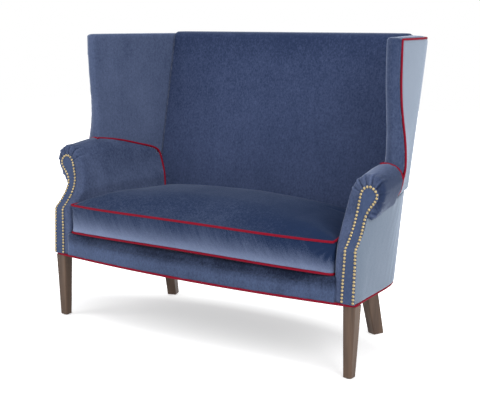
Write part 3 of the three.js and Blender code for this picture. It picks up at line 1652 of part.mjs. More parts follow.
// The origin goes to the middle of the footprint.
const extent = new THREE.Box3().setFromObject(settee);
settee.position.y = -(extent.min.y + extent.max.y) / 2;

export default settee;
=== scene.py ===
import math

import bmesh
import bpy
import numpy as np
from mathutils import Matrix, Vector
from mathutils.bvhtree import BVHTree
from mathutils.kdtree import KDTree


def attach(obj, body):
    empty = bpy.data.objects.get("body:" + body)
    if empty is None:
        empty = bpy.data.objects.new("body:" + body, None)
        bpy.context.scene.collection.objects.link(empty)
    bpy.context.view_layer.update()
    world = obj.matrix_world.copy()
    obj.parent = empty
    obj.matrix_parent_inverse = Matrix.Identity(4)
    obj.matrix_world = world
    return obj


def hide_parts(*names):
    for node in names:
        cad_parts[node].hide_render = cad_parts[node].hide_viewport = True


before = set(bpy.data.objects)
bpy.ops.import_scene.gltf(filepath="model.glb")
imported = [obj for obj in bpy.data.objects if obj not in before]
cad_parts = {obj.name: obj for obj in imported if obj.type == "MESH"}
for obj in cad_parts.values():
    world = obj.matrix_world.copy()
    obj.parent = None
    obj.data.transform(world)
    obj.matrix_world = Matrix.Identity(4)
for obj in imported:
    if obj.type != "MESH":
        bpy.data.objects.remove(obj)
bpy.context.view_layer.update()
scene = bpy.context.scene


# The view. A camera at the height and the distance of the photograph, turned to the settee's
# right arm, with a long lens, so that the back stays nearly upright.
looking_down, turned = 0.177, 0.616
lens = bpy.data.cameras.new("camera")
lens.lens = 77.14
lens.sensor_width = 36
lens.clip_end = 60
camera = bpy.data.objects.new("camera", lens)
camera.location = (2.2513, -3.1997, 1.1811)
camera.rotation_euler = (math.pi / 2 - looking_down, 0, turned)
scene.collection.objects.link(camera)
scene.camera = camera
scene.view_settings.view_transform = "Standard"


# Shader maths. A value is a socket that takes part in sums. A tree adds nodes one after another,
# and a finish is the tree of one material.
class Value:
    def __init__(self, tree, socket):
        self.tree = tree
        self.socket = socket

    def maths(self, operation, first, second, clamp=False):
        return self.tree.add("Math", {"operation": operation, "use_clamp": clamp}, first, second)

    def __add__(self, other):
        return self.maths("ADD", self, other)

    def __sub__(self, other):
        return self.maths("SUBTRACT", self, other)

    def __rsub__(self, other):
        return self.maths("SUBTRACT", other, self)

    def __mul__(self, other):
        return self.maths("MULTIPLY", self, other)

    def __pow__(self, other):
        return self.maths("POWER", self, other)

    def held(self):
        """The value held between 0 and 1."""
        return self.maths("ADD", self, 0, clamp=True)

    __radd__ = __add__
    __rmul__ = __mul__


class Tree:
    def __init__(self, owner):
        self.nodes = owner.node_tree.nodes
        self.links = owner.node_tree.links

    def join(self, socket, value):
        """Links a value to a socket, or sets the socket to a number, a vector or a colour."""
        if isinstance(value, Value):
            self.links.new(value.socket, socket)
        elif isinstance(value, tuple) and len(socket.default_value) == 4 and len(value) == 3:
            socket.default_value = (*value, 1)
        else:
            socket.default_value = value

    def add(self, kind, settings=None, *inputs, out=0, **named):
        """One more node: its settings first, then its sockets by order and by name."""
        node = self.nodes.new("ShaderNode" + kind)
        for key, value in (settings or {}).items():
            setattr(node, key, value)
        for index, value in enumerate(inputs):
            if value is not None:
                self.join(node.inputs[index], value)
        for key, value in named.items():
            self.join(node.inputs[key.replace("_", " ")], value)
        return Value(self, node.outputs[out])


class Finish(Tree):
    def __init__(self, name, **shader):
        self.material = bpy.data.materials.new(name)
        self.material.use_nodes = True
        super().__init__(self.material)
        self.shader = self.nodes["Principled BSDF"]
        self.place = self.add("TexCoord", out="Object")
        for socket, value in shader.items():
            self.set(socket.replace("_", " "), value)

    def set(self, socket, value):
        self.join(self.shader.inputs[socket], value)

    def noise(self, scale, stretch=(1, 1, 1), detail=2.0, rough=0.5, shift=(0, 0, 0), tilt=0.0):
        turned = self.add("Mapping", {}, Vector=self.place, Rotation=(0, tilt, 0))
        grid = self.add("Mapping", {}, Vector=turned, Scale=stretch, Location=shift)
        return self.add("TexNoise", {}, Vector=grid, Scale=scale, Detail=detail, Roughness=rough)

    def mix(self, share, first, second):
        """A colour between two. A Mix node keeps its colours behind five other sockets."""
        skipped = [None] * 5
        return self.add("Mix", {"data_type": "RGBA"}, share, *skipped, first, second, out=2)

    def bump(self, height, depth, strength):
        self.set("Normal", self.add("Bump", {}, Strength=strength, Distance=depth, Height=height))


# The set. A white floor that keeps the settee's soft shadow, a white surround that the camera and
# the polished metal see, and three large soft lamps.
world = bpy.data.worlds.new("surround")
world.use_nodes = True
scene.world = world
surround = Tree(world)
surround.nodes.remove(surround.nodes["Background"])
glow = surround.add("Background", {}, (1.0, 1.0, 1.0), 0.55)
white_behind = surround.add("Background", {}, (1.0, 1.0, 1.0), 1.0)
seen = surround.add("LightPath", out="Is Camera Ray")
for ray in ("Is Glossy Ray", "Is Transmission Ray"):
    seen = (seen + surround.add("LightPath", out=ray)).held()
surround.join(surround.nodes["World Output"].inputs["Surface"],
              surround.add("MixShader", {}, seen, glow, white_behind))


def new_piece(bm, name, finish=None):
    """A new object from a bmesh, in its finish if it has one yet."""
    mesh = bpy.data.meshes.new(name)
    bm.to_mesh(mesh)
    bm.free()
    if finish:
        mesh.materials.append(finish.material)
    piece = bpy.data.objects.new(name, mesh)
    scene.collection.objects.link(piece)
    return piece


floor_half = 9
shade_across, shade_along, shade_forward, shade_edge, fade = 0.95, 2.0, 0.30, 0.72, 1.3
white = Finish("white_floor", Base_Color=(0.8, 0.8, 0.8), Roughness=1.0, Specular_IOR_Level=0.0,
               Emission_Strength=1.0)
across, along = (white.add("SeparateXYZ", {}, white.place, out=axis) for axis in (0, 1))
# The floor glows, as painted light: dimly within an ellipse round the settee, where the lamps
# bring it up to white and its cast shadow shows, and full white further out, where the glow washes
# out any shadow.
away = (across * shade_across) ** 2 + ((along + shade_forward) * shade_along) ** 2
open_floor = ((away - shade_edge) * fade).held()
white.set("Emission Color", white.mix(open_floor, (0.43, 0.43, 0.435), (1.0, 1.0, 1.0)))
bm = bmesh.new()
bmesh.ops.create_grid(bm, x_segments=1, y_segments=1, size=floor_half)
new_piece(bm, "floor", white)

for name, place, aim, size, power in (
    ("lamp_right", (3.4, -1.6, 2.4), (0.3, 0, 0.5), 2.2, 105),
    ("lamp_left", (-2.9, -3.0, 2.3), (-0.2, 0, 0.5), 2.4, 70),
    ("lamp_top", (0.2, -0.6, 3.6), (0, 0, 0.4), 2.6, 70),
):
    light = bpy.data.lights.new(name, "AREA")
    light.shape = "SQUARE"
    light.size = size
    light.energy = power
    lamp = bpy.data.objects.new(name, light)
    lamp.location = place
    lamp.rotation_euler = (Vector(aim) - Vector(place)).to_track_quat("-Z", "Y").to_euler()
    scene.collection.objects.link(lamp)


# The hardwood frame. Rails, posts, stumps and blocks sawn from pale hardwood, planed, glued and
# screwed together, and left bare under the covers.
def timber(name, pale, dark, along, rough, ring=22.0):
    """A planed wood with its grain along one axis."""
    stretch = tuple(0.06 if axis == along else 1.0 for axis in "xyz")
    wood = Finish(name)
    rings = wood.noise(ring, stretch, detail=3.0, rough=0.6)
    pores = wood.noise(ring * 16, tuple(s * 0.6 if s < 1 else s for s in stretch))
    tone = ((rings - 0.35) * 2.2 + (pores - 0.5) * 0.5).held()
    wood.set("Base Color", wood.mix(tone, pale, dark))
    wood.set("Roughness", rough + tone * 0.15)
    wood.bump(pores, 0.0003, 0.35)
    return wood


def hardwood(name, along):
    return timber(name, (0.60, 0.43, 0.24), (0.42, 0.26, 0.12), along, rough=0.68)


def wear(node, finish):
    """Gives a kept CAD node its finish."""
    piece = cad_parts[node]
    for slot in piece.material_slots:
        slot.material = finish.material


wood_along_x = hardwood("hardwood_across", "x")
wood_along_y = hardwood("hardwood_fore_and_aft", "y")
wood_upright = hardwood("hardwood_upright", "z")
for node in ("front_rail", "rear_rail", "crest_rail", "lower_back_rail"):
    wear(node, wood_along_x)
for side in ("right", "left"):
    for node in ("side_rail_", "front_corner_block_", "rear_corner_block_", "arm_rail_"):
        wear(node + side, wood_along_y)
    for node in ("rear_post_", "arm_stump_", "wing_post_", "wing_frame_"):
        wear(node + side, wood_upright)
wear("centre_brace", wood_along_y)


# The legs. Four square tapered legs of walnut in a satin grey-brown stain, the rear pair splayed
# back, each bolted to the frame and shod with a nylon glide.
same_point = 0.00002
leg_edge = 0.0008
walnut = timber("walnut_stained", (0.086, 0.050, 0.031), (0.028, 0.015, 0.010), "z", rough=0.5,
                ring=30.0)
walnut.set("Coat Weight", 0.05)
walnut.set("Coat Roughness", 0.35)
walnut.set("Specular IOR Level", 0.3)


def joined_up(node, name):
    """The mesh of a CAD node as a new object, with its loose triangles merged."""
    bm = bmesh.new()
    bm.from_mesh(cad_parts[node].data)
    bmesh.ops.remove_doubles(bm, verts=bm.verts, dist=same_point)
    piece = new_piece(bm, name)
    layers = piece.data.attributes
    for layer in ("custom_normal", "UVMap"):
        if layer in layers:
            layers.remove(layers[layer])
    return piece


def shaped(piece):
    """Turns a piece's modifiers into its own mesh."""
    bpy.context.view_layer.update()
    graph = bpy.context.evaluated_depsgraph_get()
    mesh = bpy.data.meshes.new_from_object(piece.evaluated_get(graph))
    mesh.name = piece.name
    piece.modifiers.clear()
    piece.data = mesh
    return piece


def settled(piece, node, finish, body="frame"):
    """Puts a finished piece in the place of its CAD node."""
    piece.data.materials.clear()
    piece.data.materials.append(finish.material)
    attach(piece, body)
    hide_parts(node)


def edges_eased(bm, edges, offset, segments=2):
    """Takes the sharpness off some edges."""
    bmesh.ops.bevel(bm, geom=list(edges), offset=offset, segments=segments, profile=0.5,
                    material=-1, affect="EDGES")


for corner in ("front_leg_right", "front_leg_left", "rear_leg_right", "rear_leg_left"):
    leg = joined_up(corner, corner + "_walnut")
    bm = bmesh.new()
    bm.from_mesh(leg.data)
    bmesh.ops.dissolve_limit(bm, angle_limit=0.02, verts=bm.verts, edges=bm.edges)
    edges_eased(bm, bm.edges, leg_edge)
    bm.to_mesh(leg.data)
    bm.free()
    settled(leg, corner, walnut)

nylon = Finish("nylon", Base_Color=(0.022, 0.018, 0.015), Roughness=0.5)
nylon.bump(nylon.noise(900.0), 0.0001, 0.3)
for corner in ("front_glide_right", "front_glide_left", "rear_glide_right", "rear_glide_left"):
    wear(corner, nylon)


# The seat's springs and the back's webbing. Five sinuous springs of oil-tempered wire from the
# front rail to the rear rail, and three jute straps from the lower back rail to the crest rail.
tempered = Finish("spring_wire", Base_Color=(0.16, 0.165, 0.17), Metallic=0.9, Roughness=0.38)
tempered.bump(tempered.noise(700.0), 0.0001, 0.2)


def rounded(piece, times):
    """Rounds a piece off by subdividing its net."""
    round_off = piece.modifiers.new("round_off", "SUBSURF")
    round_off.levels = round_off.render_levels = times
    shaped(piece)
    piece.data.shade_smooth()


for number in range(1, 6):
    node = f"seat_spring_{number}"
    spring = joined_up(node, node + "_wire")
    rounded(spring, 1)
    settled(spring, node, tempered)

strap_edge = 0.0005
jute = Finish("jute_webbing", Roughness=0.95)
warp = jute.noise(1.0, (900.0, 60.0, 60.0), detail=1.0)
weft = jute.noise(1.0, (60.0, 60.0, 900.0), detail=1.0)
thread = (warp + weft) * 0.5
jute.set("Base Color", jute.mix(((thread - 0.3) * 2.0).held(), (0.28, 0.19, 0.08),
                                (0.58, 0.44, 0.24)))
jute.bump(thread, 0.0006, 0.8)
for number in range(1, 4):
    node = f"back_strap_{number}"
    strap = joined_up(node, node + "_webbing")
    bm = bmesh.new()
    bm.from_mesh(strap.data)
    edges_eased(bm, [e for e in bm.edges if e.calc_face_angle(0) > 0.5], strap_edge)
    bm.to_mesh(strap.data)
    bm.free()
    settled(strap, node, jute)


# The seat deck and the front border. A felt pad in plain cloth over the springs, and a padded
# border in cut velvet, dark slate blue, that runs under the cushion's front and is tacked under
# the front rail.
def velvet(name, deep, pale, cloud=0.5, stroke=0.25, stroke_stretch=(70.0, 70.0, 4.0), sheen=0.4,
           nap=1.0, start=0.4, tilt=0.0, folds=0.0, tone_ramps=()):
    """A velvet between two colours. Its tone begins at start, varies by clouds, strokes and nap
    (each an amount), follows the attribute fold by folds, as painted shade in the hollows of the
    folds and painted highlight on their ridges, and each ramp adds its amount from a low place to
    a high one along an axis, at a power if it has one. Each velvet below says which of its ramps
    paint light and shade."""
    pile = Finish(name, Roughness=0.85, Specular_IOR_Level=0.1, Sheen_Weight=sheen,
                  Sheen_Roughness=0.35, Sheen_Tint=(0.72, 0.82, 1.0))
    clouds = pile.noise(2.6, detail=3.0, rough=0.55)
    patches = pile.noise(11.0, (1.0, 1.0, 0.6), detail=4.0, rough=0.6, shift=(3, 1, 2))
    grain = pile.noise(420.0)
    combed = pile.noise(150.0, (1.0, 1.0, 0.7), detail=4.0, rough=0.75, shift=(1, 5, 3))
    strokes = pile.noise(1.0, stroke_stretch, detail=3.0, rough=0.65, tilt=tilt)
    tone = (clouds - 0.5) * cloud * 1.6 + (patches - 0.5) * cloud + (grain - 0.5) * 0.5 + start
    tone = tone + (strokes - 0.5) * stroke + (combed - 0.5) * nap
    if folds:
        tone = tone + pile.add("Attribute", {"attribute_name": "fold"}, out="Fac") * folds
    for axis, low, high, amount, *power in tone_ramps:
        place = pile.add("SeparateXYZ", {}, pile.place, out="xyz".index(axis))
        share = ((place - low) * (1 / (high - low))).held()
        tone = tone + (share ** power[0] if power else share) * amount
    pile.set("Base Color", pile.mix(tone.held(), deep, pale))
    pile.bump(grain * 0.7 + combed + patches * 0.6 + strokes * 0.4, 0.0009, 0.5)
    return pile


def evened(piece, voxel):
    """Gives a mesh an even net of small faces."""
    net = piece.modifiers.new("even_net", "REMESH")
    net.mode = "VOXEL"
    net.voxel_size = voxel
    return shaped(piece)


def points_of(piece):
    place = np.empty(len(piece.data.vertices) * 3, np.float32)
    piece.data.vertices.foreach_get("co", place)
    return place.reshape(-1, 3).astype(float)


def normals_of(piece):
    facing = np.empty(len(piece.data.vertices) * 3, np.float32)
    piece.data.vertex_normals.foreach_get("vector", facing)
    return facing.reshape(-1, 3).astype(float)


def put_points(piece, place):
    piece.data.vertices.foreach_set("co", place.astype(np.float32).ravel())
    piece.data.update()


def within(before, after, reach):
    """The moved points, none of them further than reach from where it was."""
    move = after - before
    far = np.linalg.norm(move, axis=1, keepdims=True)
    return before + move * (reach * np.tanh(far / reach) / np.maximum(far, 1e-9))


def eased(piece, rounds, reach, swell):
    """Smooths a mesh within a short reach, and lets it swell a little."""
    before = points_of(piece)
    ease = piece.modifiers.new("ease", "SMOOTH")
    ease.factor = 0.5
    ease.iterations = rounds
    shaped(piece)
    put_points(piece, within(before, points_of(piece), reach) + normals_of(piece) * swell)
    piece.data.shade_smooth()
    return piece


def surface_of(*pieces):
    """A tree that finds points on the surface of some pieces."""
    bm = bmesh.new()
    for piece in pieces:
        bm.from_mesh(piece.data)
    tree = BVHTree.FromBMesh(bm)
    bm.free()
    return tree


def drawn_in(points, seam, near, reach):
    """Points drawn into a seam. Those within near of it lie on it, and those past reach stay."""
    moved = points.copy()
    for index, place in enumerate(points):
        spot, _, _, far = seam.find_nearest(Vector(place), reach)
        if spot is not None:
            share = 1 - max(0.0, far - near) / (reach - near)
            moved[index] += (np.array(spot) - place) * share
    return moved


def ramp(value, low, high):
    """0 below low, 1 above high, and a smooth rise between them."""
    t = np.clip((value - low) / (high - low), 0, 1)
    return t * t * (3 - 2 * t)


def cornered(points):
    """The seam of arm and wing drawn a little up and back where it turns down to the seat."""
    corner_y, corner_z, spread = 0.150, 0.634, 0.034
    back, up = 0.008, 0.011
    off_y, off_z = (points[:, 1] - corner_y) / spread, (points[:, 2] - corner_z) / spread
    near = np.exp(-(off_y ** 2 + off_z ** 2))
    near *= ramp(np.abs(points[:, 0]), 0.46, 0.50)
    moved = points.copy()
    moved[:, 1] += back * near
    moved[:, 2] += up * near
    return moved


def crested(points):
    """The stuffing of the wings and the back a little fuller at the very top."""
    crest_fill = 0.010
    moved = points.copy()
    moved[:, 2] += crest_fill * ramp(points[:, 2], 0.98, 1.10)
    return moved


def pad(node, name, finish, rounds, reach, swell, voxel=0.005, shape=None, seams=()):
    """A padded piece over a CAD node, smoothed, moved by shape(points, normals) and drawn into
    its seams, each given as its nodes, near and reach."""
    piece = eased(evened(joined_up(node, name), voxel), rounds, reach, swell)
    if shape:
        put_points(piece, shape(points_of(piece), normals_of(piece)))
    for nodes, near, far in seams:
        seam = surface_of(*(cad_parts[seam_node] for seam_node in nodes))
        put_points(piece, drawn_in(points_of(piece), seam, near, far))
    if node.startswith(("arm_pad", "wing_pad")):
        put_points(piece, cornered(points_of(piece)))
    put_points(piece, crested(points_of(piece)))
    settled(piece, node, finish)
    return piece


# The border velvet's ramps: painted shade along the top of the border, under the cushion's front,
# and paler towards the left end.
border_velvet = velvet("velvet_border", (0.005, 0.009, 0.024), (0.060, 0.086, 0.164), stroke=0.2,
                       start=0.53, tone_ramps=(("x", 0.1, -0.6, 0.22), ("z", 0.294, 0.326, -0.5)))


def rolled(points, normals):
    """The border's top edge rolled down under the cushion, and its ends filled to the arms."""
    half_width, front_at_ends, front_bow = 0.686, -0.3346, 0.0468
    roll_down, roll_back, end_fill = 0.020, 0.005, 0.006
    x, y, z = points.T
    behind = y - front_at_ends + front_bow * (1 - (x / half_width) ** 2)
    top = ramp(z, 0.308, 0.342) * (1 - ramp(np.abs(x), 0.48, 0.60))
    top *= 1 - ramp(behind, 0.006, 0.034)
    moved = points.copy()
    moved[:, 2] -= roll_down * top
    moved[:, 1] += roll_back * top * (normals[:, 1] < 0)
    moved[:, 0] += np.sign(x) * end_fill * ramp(np.abs(x), 0.585, 0.602)
    return moved


pad("front_border", "border", border_velvet, rounds=14, reach=0.0015, swell=0.0012, shape=rolled,
    seams=[(["base_welt"], 0.002, 0.008), (["seat_deck"], 0.003, 0.010)])

deck_cloth = Finish("deck_cloth", Roughness=0.9)
twill = deck_cloth.noise(1.0, (700.0, 700.0, 40.0), detail=1.0)
deck_cloth.set("Base Color", deck_cloth.mix(twill, (0.020, 0.030, 0.062), (0.040, 0.055, 0.105)))
deck_cloth.bump(twill, 0.0003, 0.5)
deck_edge = 0.002
deck = joined_up("seat_deck", "deck")
bm = bmesh.new()
bm.from_mesh(deck.data)
bmesh.ops.dissolve_limit(bm, angle_limit=0.02, verts=bm.verts, edges=bm.edges)
edges_eased(bm, [e for e in bm.edges if e.calc_face_angle(0) > 1.0], deck_edge, segments=3)
bmesh.ops.triangulate(bm, faces=[f for f in bm.faces if len(f.verts) > 4])
bm.to_mesh(deck.data)
bm.free()
settled(deck, "seat_deck", deck_cloth)


# The inside back. One tight panel of velvet over foam on the webbing, its top edge rolled over
# the crest rail, with a shallow hollow where the back is sat against.
back_velvet = velvet("velvet_back", (0.010, 0.019, 0.052), (0.049, 0.067, 0.136), cloud=0.32,
                     nap=1.9, start=0.34,
                     tone_ramps=(("z", 1.00, 0.55, 0.26), ("z", 1.00, 1.11, -0.3)))
pad("inside_back_pad", "inside_back", back_velvet, voxel=0.006, rounds=20, reach=0.002,
    swell=0.001)


# The wings. Velvet over wadding on each wing board, drawn round its front edge into a flat band,
# and pulled down tight behind the arm.
def puffed(points, normals):
    """The flat band on the wing's front edge, padded out a little."""
    band_fill = 0.006
    side = np.sign(points[:, 0].mean())
    x = points[:, 0] * side
    front = ramp(-normals[:, 1], 0.55, 0.9)
    band = ramp(x, 0.664, 0.684) * (1 - ramp(x, 0.700, 0.712)) * front
    moved = points.copy()
    moved[:, 1] -= band_fill * band
    return moved


# The wing velvet's ramps: the left wing painted paler, as lit from the right; both wings darker
# towards the top; and a painted highlight along the rounded inner edge of the right wing's front
# band.
wing_velvet = velvet("velvet_wing", (0.015, 0.025, 0.060), (0.072, 0.094, 0.165), nap=1.2,
                     start=0.33, sheen=0.6,
                     tone_ramps=(("x", 0.1, -0.6, 0.3), ("z", 0.85, 1.08, -0.13),
                            ("x", 0.646, 0.654, 0.45), ("x", 0.660, 0.670, -0.5)))
for side in ("right", "left"):
    pad("wing_pad_" + side, "wing_" + side, wing_velvet, rounds=14, reach=0.0015, swell=0.0012,
        shape=puffed, seams=[(["crown_welt"], 0.005, 0.014), (["arm_welt_" + side], 0.004, 0.014)])


# The arms. Velvet over wadding on the arm rail and stump, rolled outwards and tucked under, and
# gathered in small pleats round the front of the roll, behind the nails.
roll_x, roll_z = 0.682, 0.603
pleats = ((2.6, 0.6), (2.15, 1.0), (1.75, 0.8), (1.35, 0.9), (0.85, 1.0), (0.3, 0.6), (-0.3, 1.0),
          (-0.75, 0.9))
pleat_depth = 0.0055
crease_spacing, crease_depth = 0.019, 0.003
lip_front, lip_z, lip_slope, lip_x = -0.24, 0.558, 0.217, 0.693
lip_places = (-0.262, -0.236, -0.181, -0.109, -0.051, 0)
lip_drops = (0.022, 0.029, 0.028, 0.025, 0.013, 0)
# The depth of the arm's folds, kept for their painted shade and highlight.
painted_fold_shade = []


def pleated(points, normals):
    """Pleats round the front of the roll, each at an angle, and the lip pulled down under it.
    How deep each point lies in the pleats and creases is kept, for the painted shade in their
    hollows and the painted highlight on their ridges."""
    side = np.sign(points[:, 0].mean())
    x, y, z = points[:, 0] * side, points[:, 1], points[:, 2]
    turn = np.arctan2(z - roll_z, x - roll_x)
    behind = 1 - ramp(y, -0.262, -0.205)
    out = ramp(np.hypot(x - roll_x, z - roll_z), 0.030, 0.042) * ramp(z, 0.545, 0.57)
    folds = np.zeros(len(points))
    for at, deep in pleats:
        off = turn - at - 0.05 * side
        folds += deep * (0.8 * np.exp(-((off - 0.10) / 0.05) ** 2) - np.exp(-(off / 0.045) ** 2))
    folds *= behind * out
    moved = points + normals * (folds * pleat_depth)[:, None]
    lip = lip_z + (y - lip_front) * lip_slope
    under = ramp(x, 0.670, 0.684) * (1 - ramp(z - lip, 0.004, 0.045)) * ramp(z, 0.53, 0.55)
    drop = np.interp(y, lip_places, lip_drops)
    moved[:, 2] -= drop * under
    out = np.maximum(x, lip_x) - x
    crease = np.cos(2 * math.pi * (moved[:, 2] + 0.35 * y) / crease_spacing)
    crease *= 1 - ramp(y, -0.24, -0.14)
    moved[:, 0] += side * under * (drop > 0) * (out + crease_depth * crease)
    painted_fold_shade[:] = [folds + 0.7 * crease * under * (drop > 0)]
    return moved


# The arm velvets' ramps: both arms paler lower down; the right arm darker outwards and paler over
# the top of its roll, with painted shade down the roll's outer face; the left arm a little darker
# towards its outer side.
arm_tone_ramps = {"right": (("z", 0.66, 0.46, 0.22), ("x", 0.5, 0.68, -0.27), ("z", 0.60, 0.655, 0.32),
                       ("x", 0.690, 0.726, -0.62)),
             "left": (("z", 0.66, 0.46, 0.22), ("x", -0.54, -0.64, -0.06))}
for side in ("right", "left"):
    arm_velvet = velvet("velvet_arm_" + side, (0.014, 0.023, 0.055), (0.070, 0.092, 0.165),
                        cloud=0.8, nap=1.4, sheen=0.3, start=0.42, folds=0.45,
                        tone_ramps=arm_tone_ramps[side])
    arm = pad("arm_pad_" + side, "arm_" + side, arm_velvet, voxel=0.0035, rounds=24, reach=0.0018,
              swell=0.001, shape=pleated, seams=[(["arm_welt_" + side], 0.009, 0.024)])
    # The fold depths go to the arm velvet, as painted shade in the hollows and painted highlight
    # on the ridges.
    fold_shade_layer = arm.data.attributes.new("fold", "FLOAT", "POINT")
    fold_shade_layer.data.foreach_set("value", painted_fold_shade[0].astype(np.float32))
    lip = arm.vertex_groups.new(name="lip")
    place = points_of(arm)
    low_on_roll = (np.abs(place[:, 0]) > 0.66) & (place[:, 2] < 0.60) & (place[:, 2] > 0.5)
    for index in np.nonzero(low_on_roll & (place[:, 1] < 0.0))[0]:
        lip.add([int(index)], 1.0, "REPLACE")
    soften = arm.modifiers.new("soften", "SMOOTH")
    soften.vertex_group = "lip"
    soften.iterations = 5
    shaped(arm)
    arm.data.shade_smooth()


# The arm fronts. A shaped board in velvet on each arm, set back where it rises into the scroll,
# and fixed over the edges of the arm's cover.
facing_velvet = velvet("velvet_facing", (0.022, 0.035, 0.078), (0.054, 0.078, 0.148))
for side in ("right", "left"):
    pad("arm_facing_" + side, "facing_" + side, facing_velvet, voxel=0.0025, rounds=6, reach=0.001,
        swell=0.0002)


# The outside panels. Velvet over card and wadding, blind tacked along the top and stretched down
# to the bottom rails: one on each arm, one on each wing and one across the back.
# The outside velvet is a lit copy of the velvets inside: painted much paler all over, as painted
# light from the lamps grazing the outside panels, paler still towards the top, and darker towards
# the front, as painted shade under the arm rolls.
lit_side_velvet = velvet("velvet_outside_lit", (0.098, 0.126, 0.168), (0.172, 0.204, 0.252), cloud=0.3,
                     nap=0.5, tone_ramps=(("z", 0.45, 0.95, 0.4), ("y", -0.16, -0.30, -0.25)))
for side in ("right", "left"):
    pad("outside_arm_panel_" + side, "outside_arm_" + side, lit_side_velvet, voxel=0.004, rounds=14,
        reach=0.0012, swell=0.001, seams=[(["arm_pad_" + side], 0.028, 0.055),
                                          (["arm_facing_" + side], 0.004, 0.014)])
    pad("outside_wing_panel_" + side, "outside_wing_" + side, lit_side_velvet, voxel=0.004, rounds=14,
        reach=0.0012, swell=0.001, seams=[(["crown_welt"], 0.004, 0.012)])
pad("outside_back_panel", "outside_back", lit_side_velvet, voxel=0.005, rounds=14, reach=0.0012,
    swell=0.001, seams=[(["base_welt", "crown_welt"], 0.004, 0.012)])


# The nails. Round antique brass heads driven side by side round each arm front, along both edges
# of the facing and over its top.
nail_radius, nail_height, nail_spacing, nail_inset = 0.0053, 0.0034, 0.012, 0.0056
lowest_nail = 0.007
brass = Finish("antique_brass", Metallic=1.0)
tarnish = brass.noise(260.0)
brass.set("Base Color", brass.mix(((tarnish - 0.35) * 2.0).held(), (0.40, 0.32, 0.18),
                                  (0.16, 0.12, 0.06)))
brass.set("Roughness", 0.24 + tarnish * 0.25)


def nail_places(facing):
    """Points round a facing, and the way that each nail stands out of it."""
    surface = surface_of(facing)
    points = points_of(facing)
    side = np.sign(points[:, 0].mean())
    levels = np.unique(np.round(points[:, 2], 5))
    front = [points[np.abs(points[:, 2] - z) < same_point] for z in levels]
    inner = [row[np.argmin(row[:, 0] * side)] for row in front]
    outer = [row[np.argmax(row[:, 0] * side)] for row in front]
    outline = np.array(inner + outer[::-1])[:, [0, 2]]
    steps = np.r_[0, np.cumsum(np.linalg.norm(np.diff(outline, axis=0), axis=1))]
    even = np.linspace(0, steps[-1], 500)
    path = np.c_[np.interp(even, steps, outline[:, 0]), np.interp(even, steps, outline[:, 1])]
    for _ in range(40):
        path[1:-1] = (path[:-2] + path[1:-1] * 2 + path[2:]) / 4
    along = np.gradient(path, axis=0)
    along /= np.linalg.norm(along, axis=1, keepdims=True)
    path = path + np.c_[along[:, 1], -along[:, 0]] * side * nail_inset
    hits = [surface.ray_cast(Vector((x, -2.0, z)), Vector((0, 1, 0))) for x, z in path]
    hits = [hit for hit in hits if hit[0] and hit[0].z > levels[0] + lowest_nail]
    spots = np.array([hit[0] for hit in hits])
    steps = np.r_[0, np.cumsum(np.linalg.norm(np.diff(spots, axis=0), axis=1))]
    count = round(steps[-1] / nail_spacing)
    places = np.linspace(0, steps[-1], count + 1)
    return [hits[np.argmin(np.abs(steps - at))][:2] for at in places]


for side in ("right", "left"):
    bm = bmesh.new()
    for spot, facing_way in nail_places(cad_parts["arm_facing_" + side]):
        turn = facing_way.to_track_quat("Z", "Y").to_matrix().to_4x4()
        dome = Matrix.Diagonal((nail_radius, nail_radius, nail_height, 1))
        stand = Matrix.Translation(spot) @ turn @ dome
        bmesh.ops.create_uvsphere(bm, u_segments=10, v_segments=6, radius=1, matrix=stand)
    nails = new_piece(bm, "nails_" + side, brass)
    nails.data.shade_smooth()
    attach(nails, "frame")


# The piping. A cord sewn into a bias strip of plain crimson cloth, let into the seams round the
# bottom edge, up the wings and across their tops, and between each arm and its wing.
crimson = Finish("crimson_cloth", Roughness=0.75)
weave = crimson.noise(1400.0, detail=1.0)
crimson.set("Base Color", crimson.mix(weave, (0.10, 0.001, 0.008), (0.21, 0.002, 0.016)))
crimson.set("Specular IOR Level", 0.1)
crimson.bump(weave, 0.0003, 0.5)


def piping(node, name, body="frame", fuller=0.0016):
    """A round cord over a CAD node, fuller all round by a little, that follows its seam."""
    crown_back = 0.004
    piece = joined_up(node, name)
    put_points(piece, points_of(piece) + normals_of(piece) * fuller)
    if node.startswith("arm_welt"):
        put_points(piece, cornered(points_of(piece)))
    put_points(piece, crested(points_of(piece)))
    if node == "crown_welt":
        place = points_of(piece)
        place[:, 1] += crown_back * (1 - ramp(place[:, 2], 1.06, 1.09))
        put_points(piece, place)
    rounded(piece, 2)
    settled(piece, node, crimson, body)


piping("base_welt", "base_piping", fuller=0.0024)
piping("crown_welt", "crown_piping")
for side in ("right", "left"):
    piping("arm_welt_" + side, "arm_piping_" + side, fuller=0.0020)


# The dust cover. Black cambric cut to the outline of the frame, stretched under the rails so that
# it sags a little between them, and stapled along its edge.
cambric = Finish("cambric", Base_Color=(0.012, 0.012, 0.014), Roughness=0.95)
cambric.bump(cambric.noise(1200.0), 0.0002, 0.4)
net_spacing, sag = 0.04, 0.006
dust = joined_up("dust_cover", "dust_cloth")
bm = bmesh.new()
bm.from_mesh(dust.data)
for way, edge_at in ((Vector((1, 0, 0)), 0.66), (Vector((0, 1, 0)), 0.36)):
    for at in np.arange(-edge_at, edge_at + 0.01, net_spacing):
        bmesh.ops.bisect_plane(bm, geom=bm.verts[:] + bm.edges[:] + bm.faces[:], plane_co=way * at,
                               plane_no=way)
bm.to_mesh(dust.data)
bm.free()
low, high = points_of(dust).min(axis=0), points_of(dust).max(axis=0)
place = points_of(dust)
across = (place[:, 0] - (low[0] + high[0]) / 2) / (high[0] - low[0]) * 2
along = (place[:, 1] - (low[1] + high[1]) / 2) / (high[1] - low[1]) * 2
place[:, 2] -= sag * np.clip(1 - across ** 4, 0, 1) * np.clip(1 - along ** 4, 0, 1)
put_points(dust, place)
dust.data.shade_smooth()
settled(dust, "dust_cover", cambric)

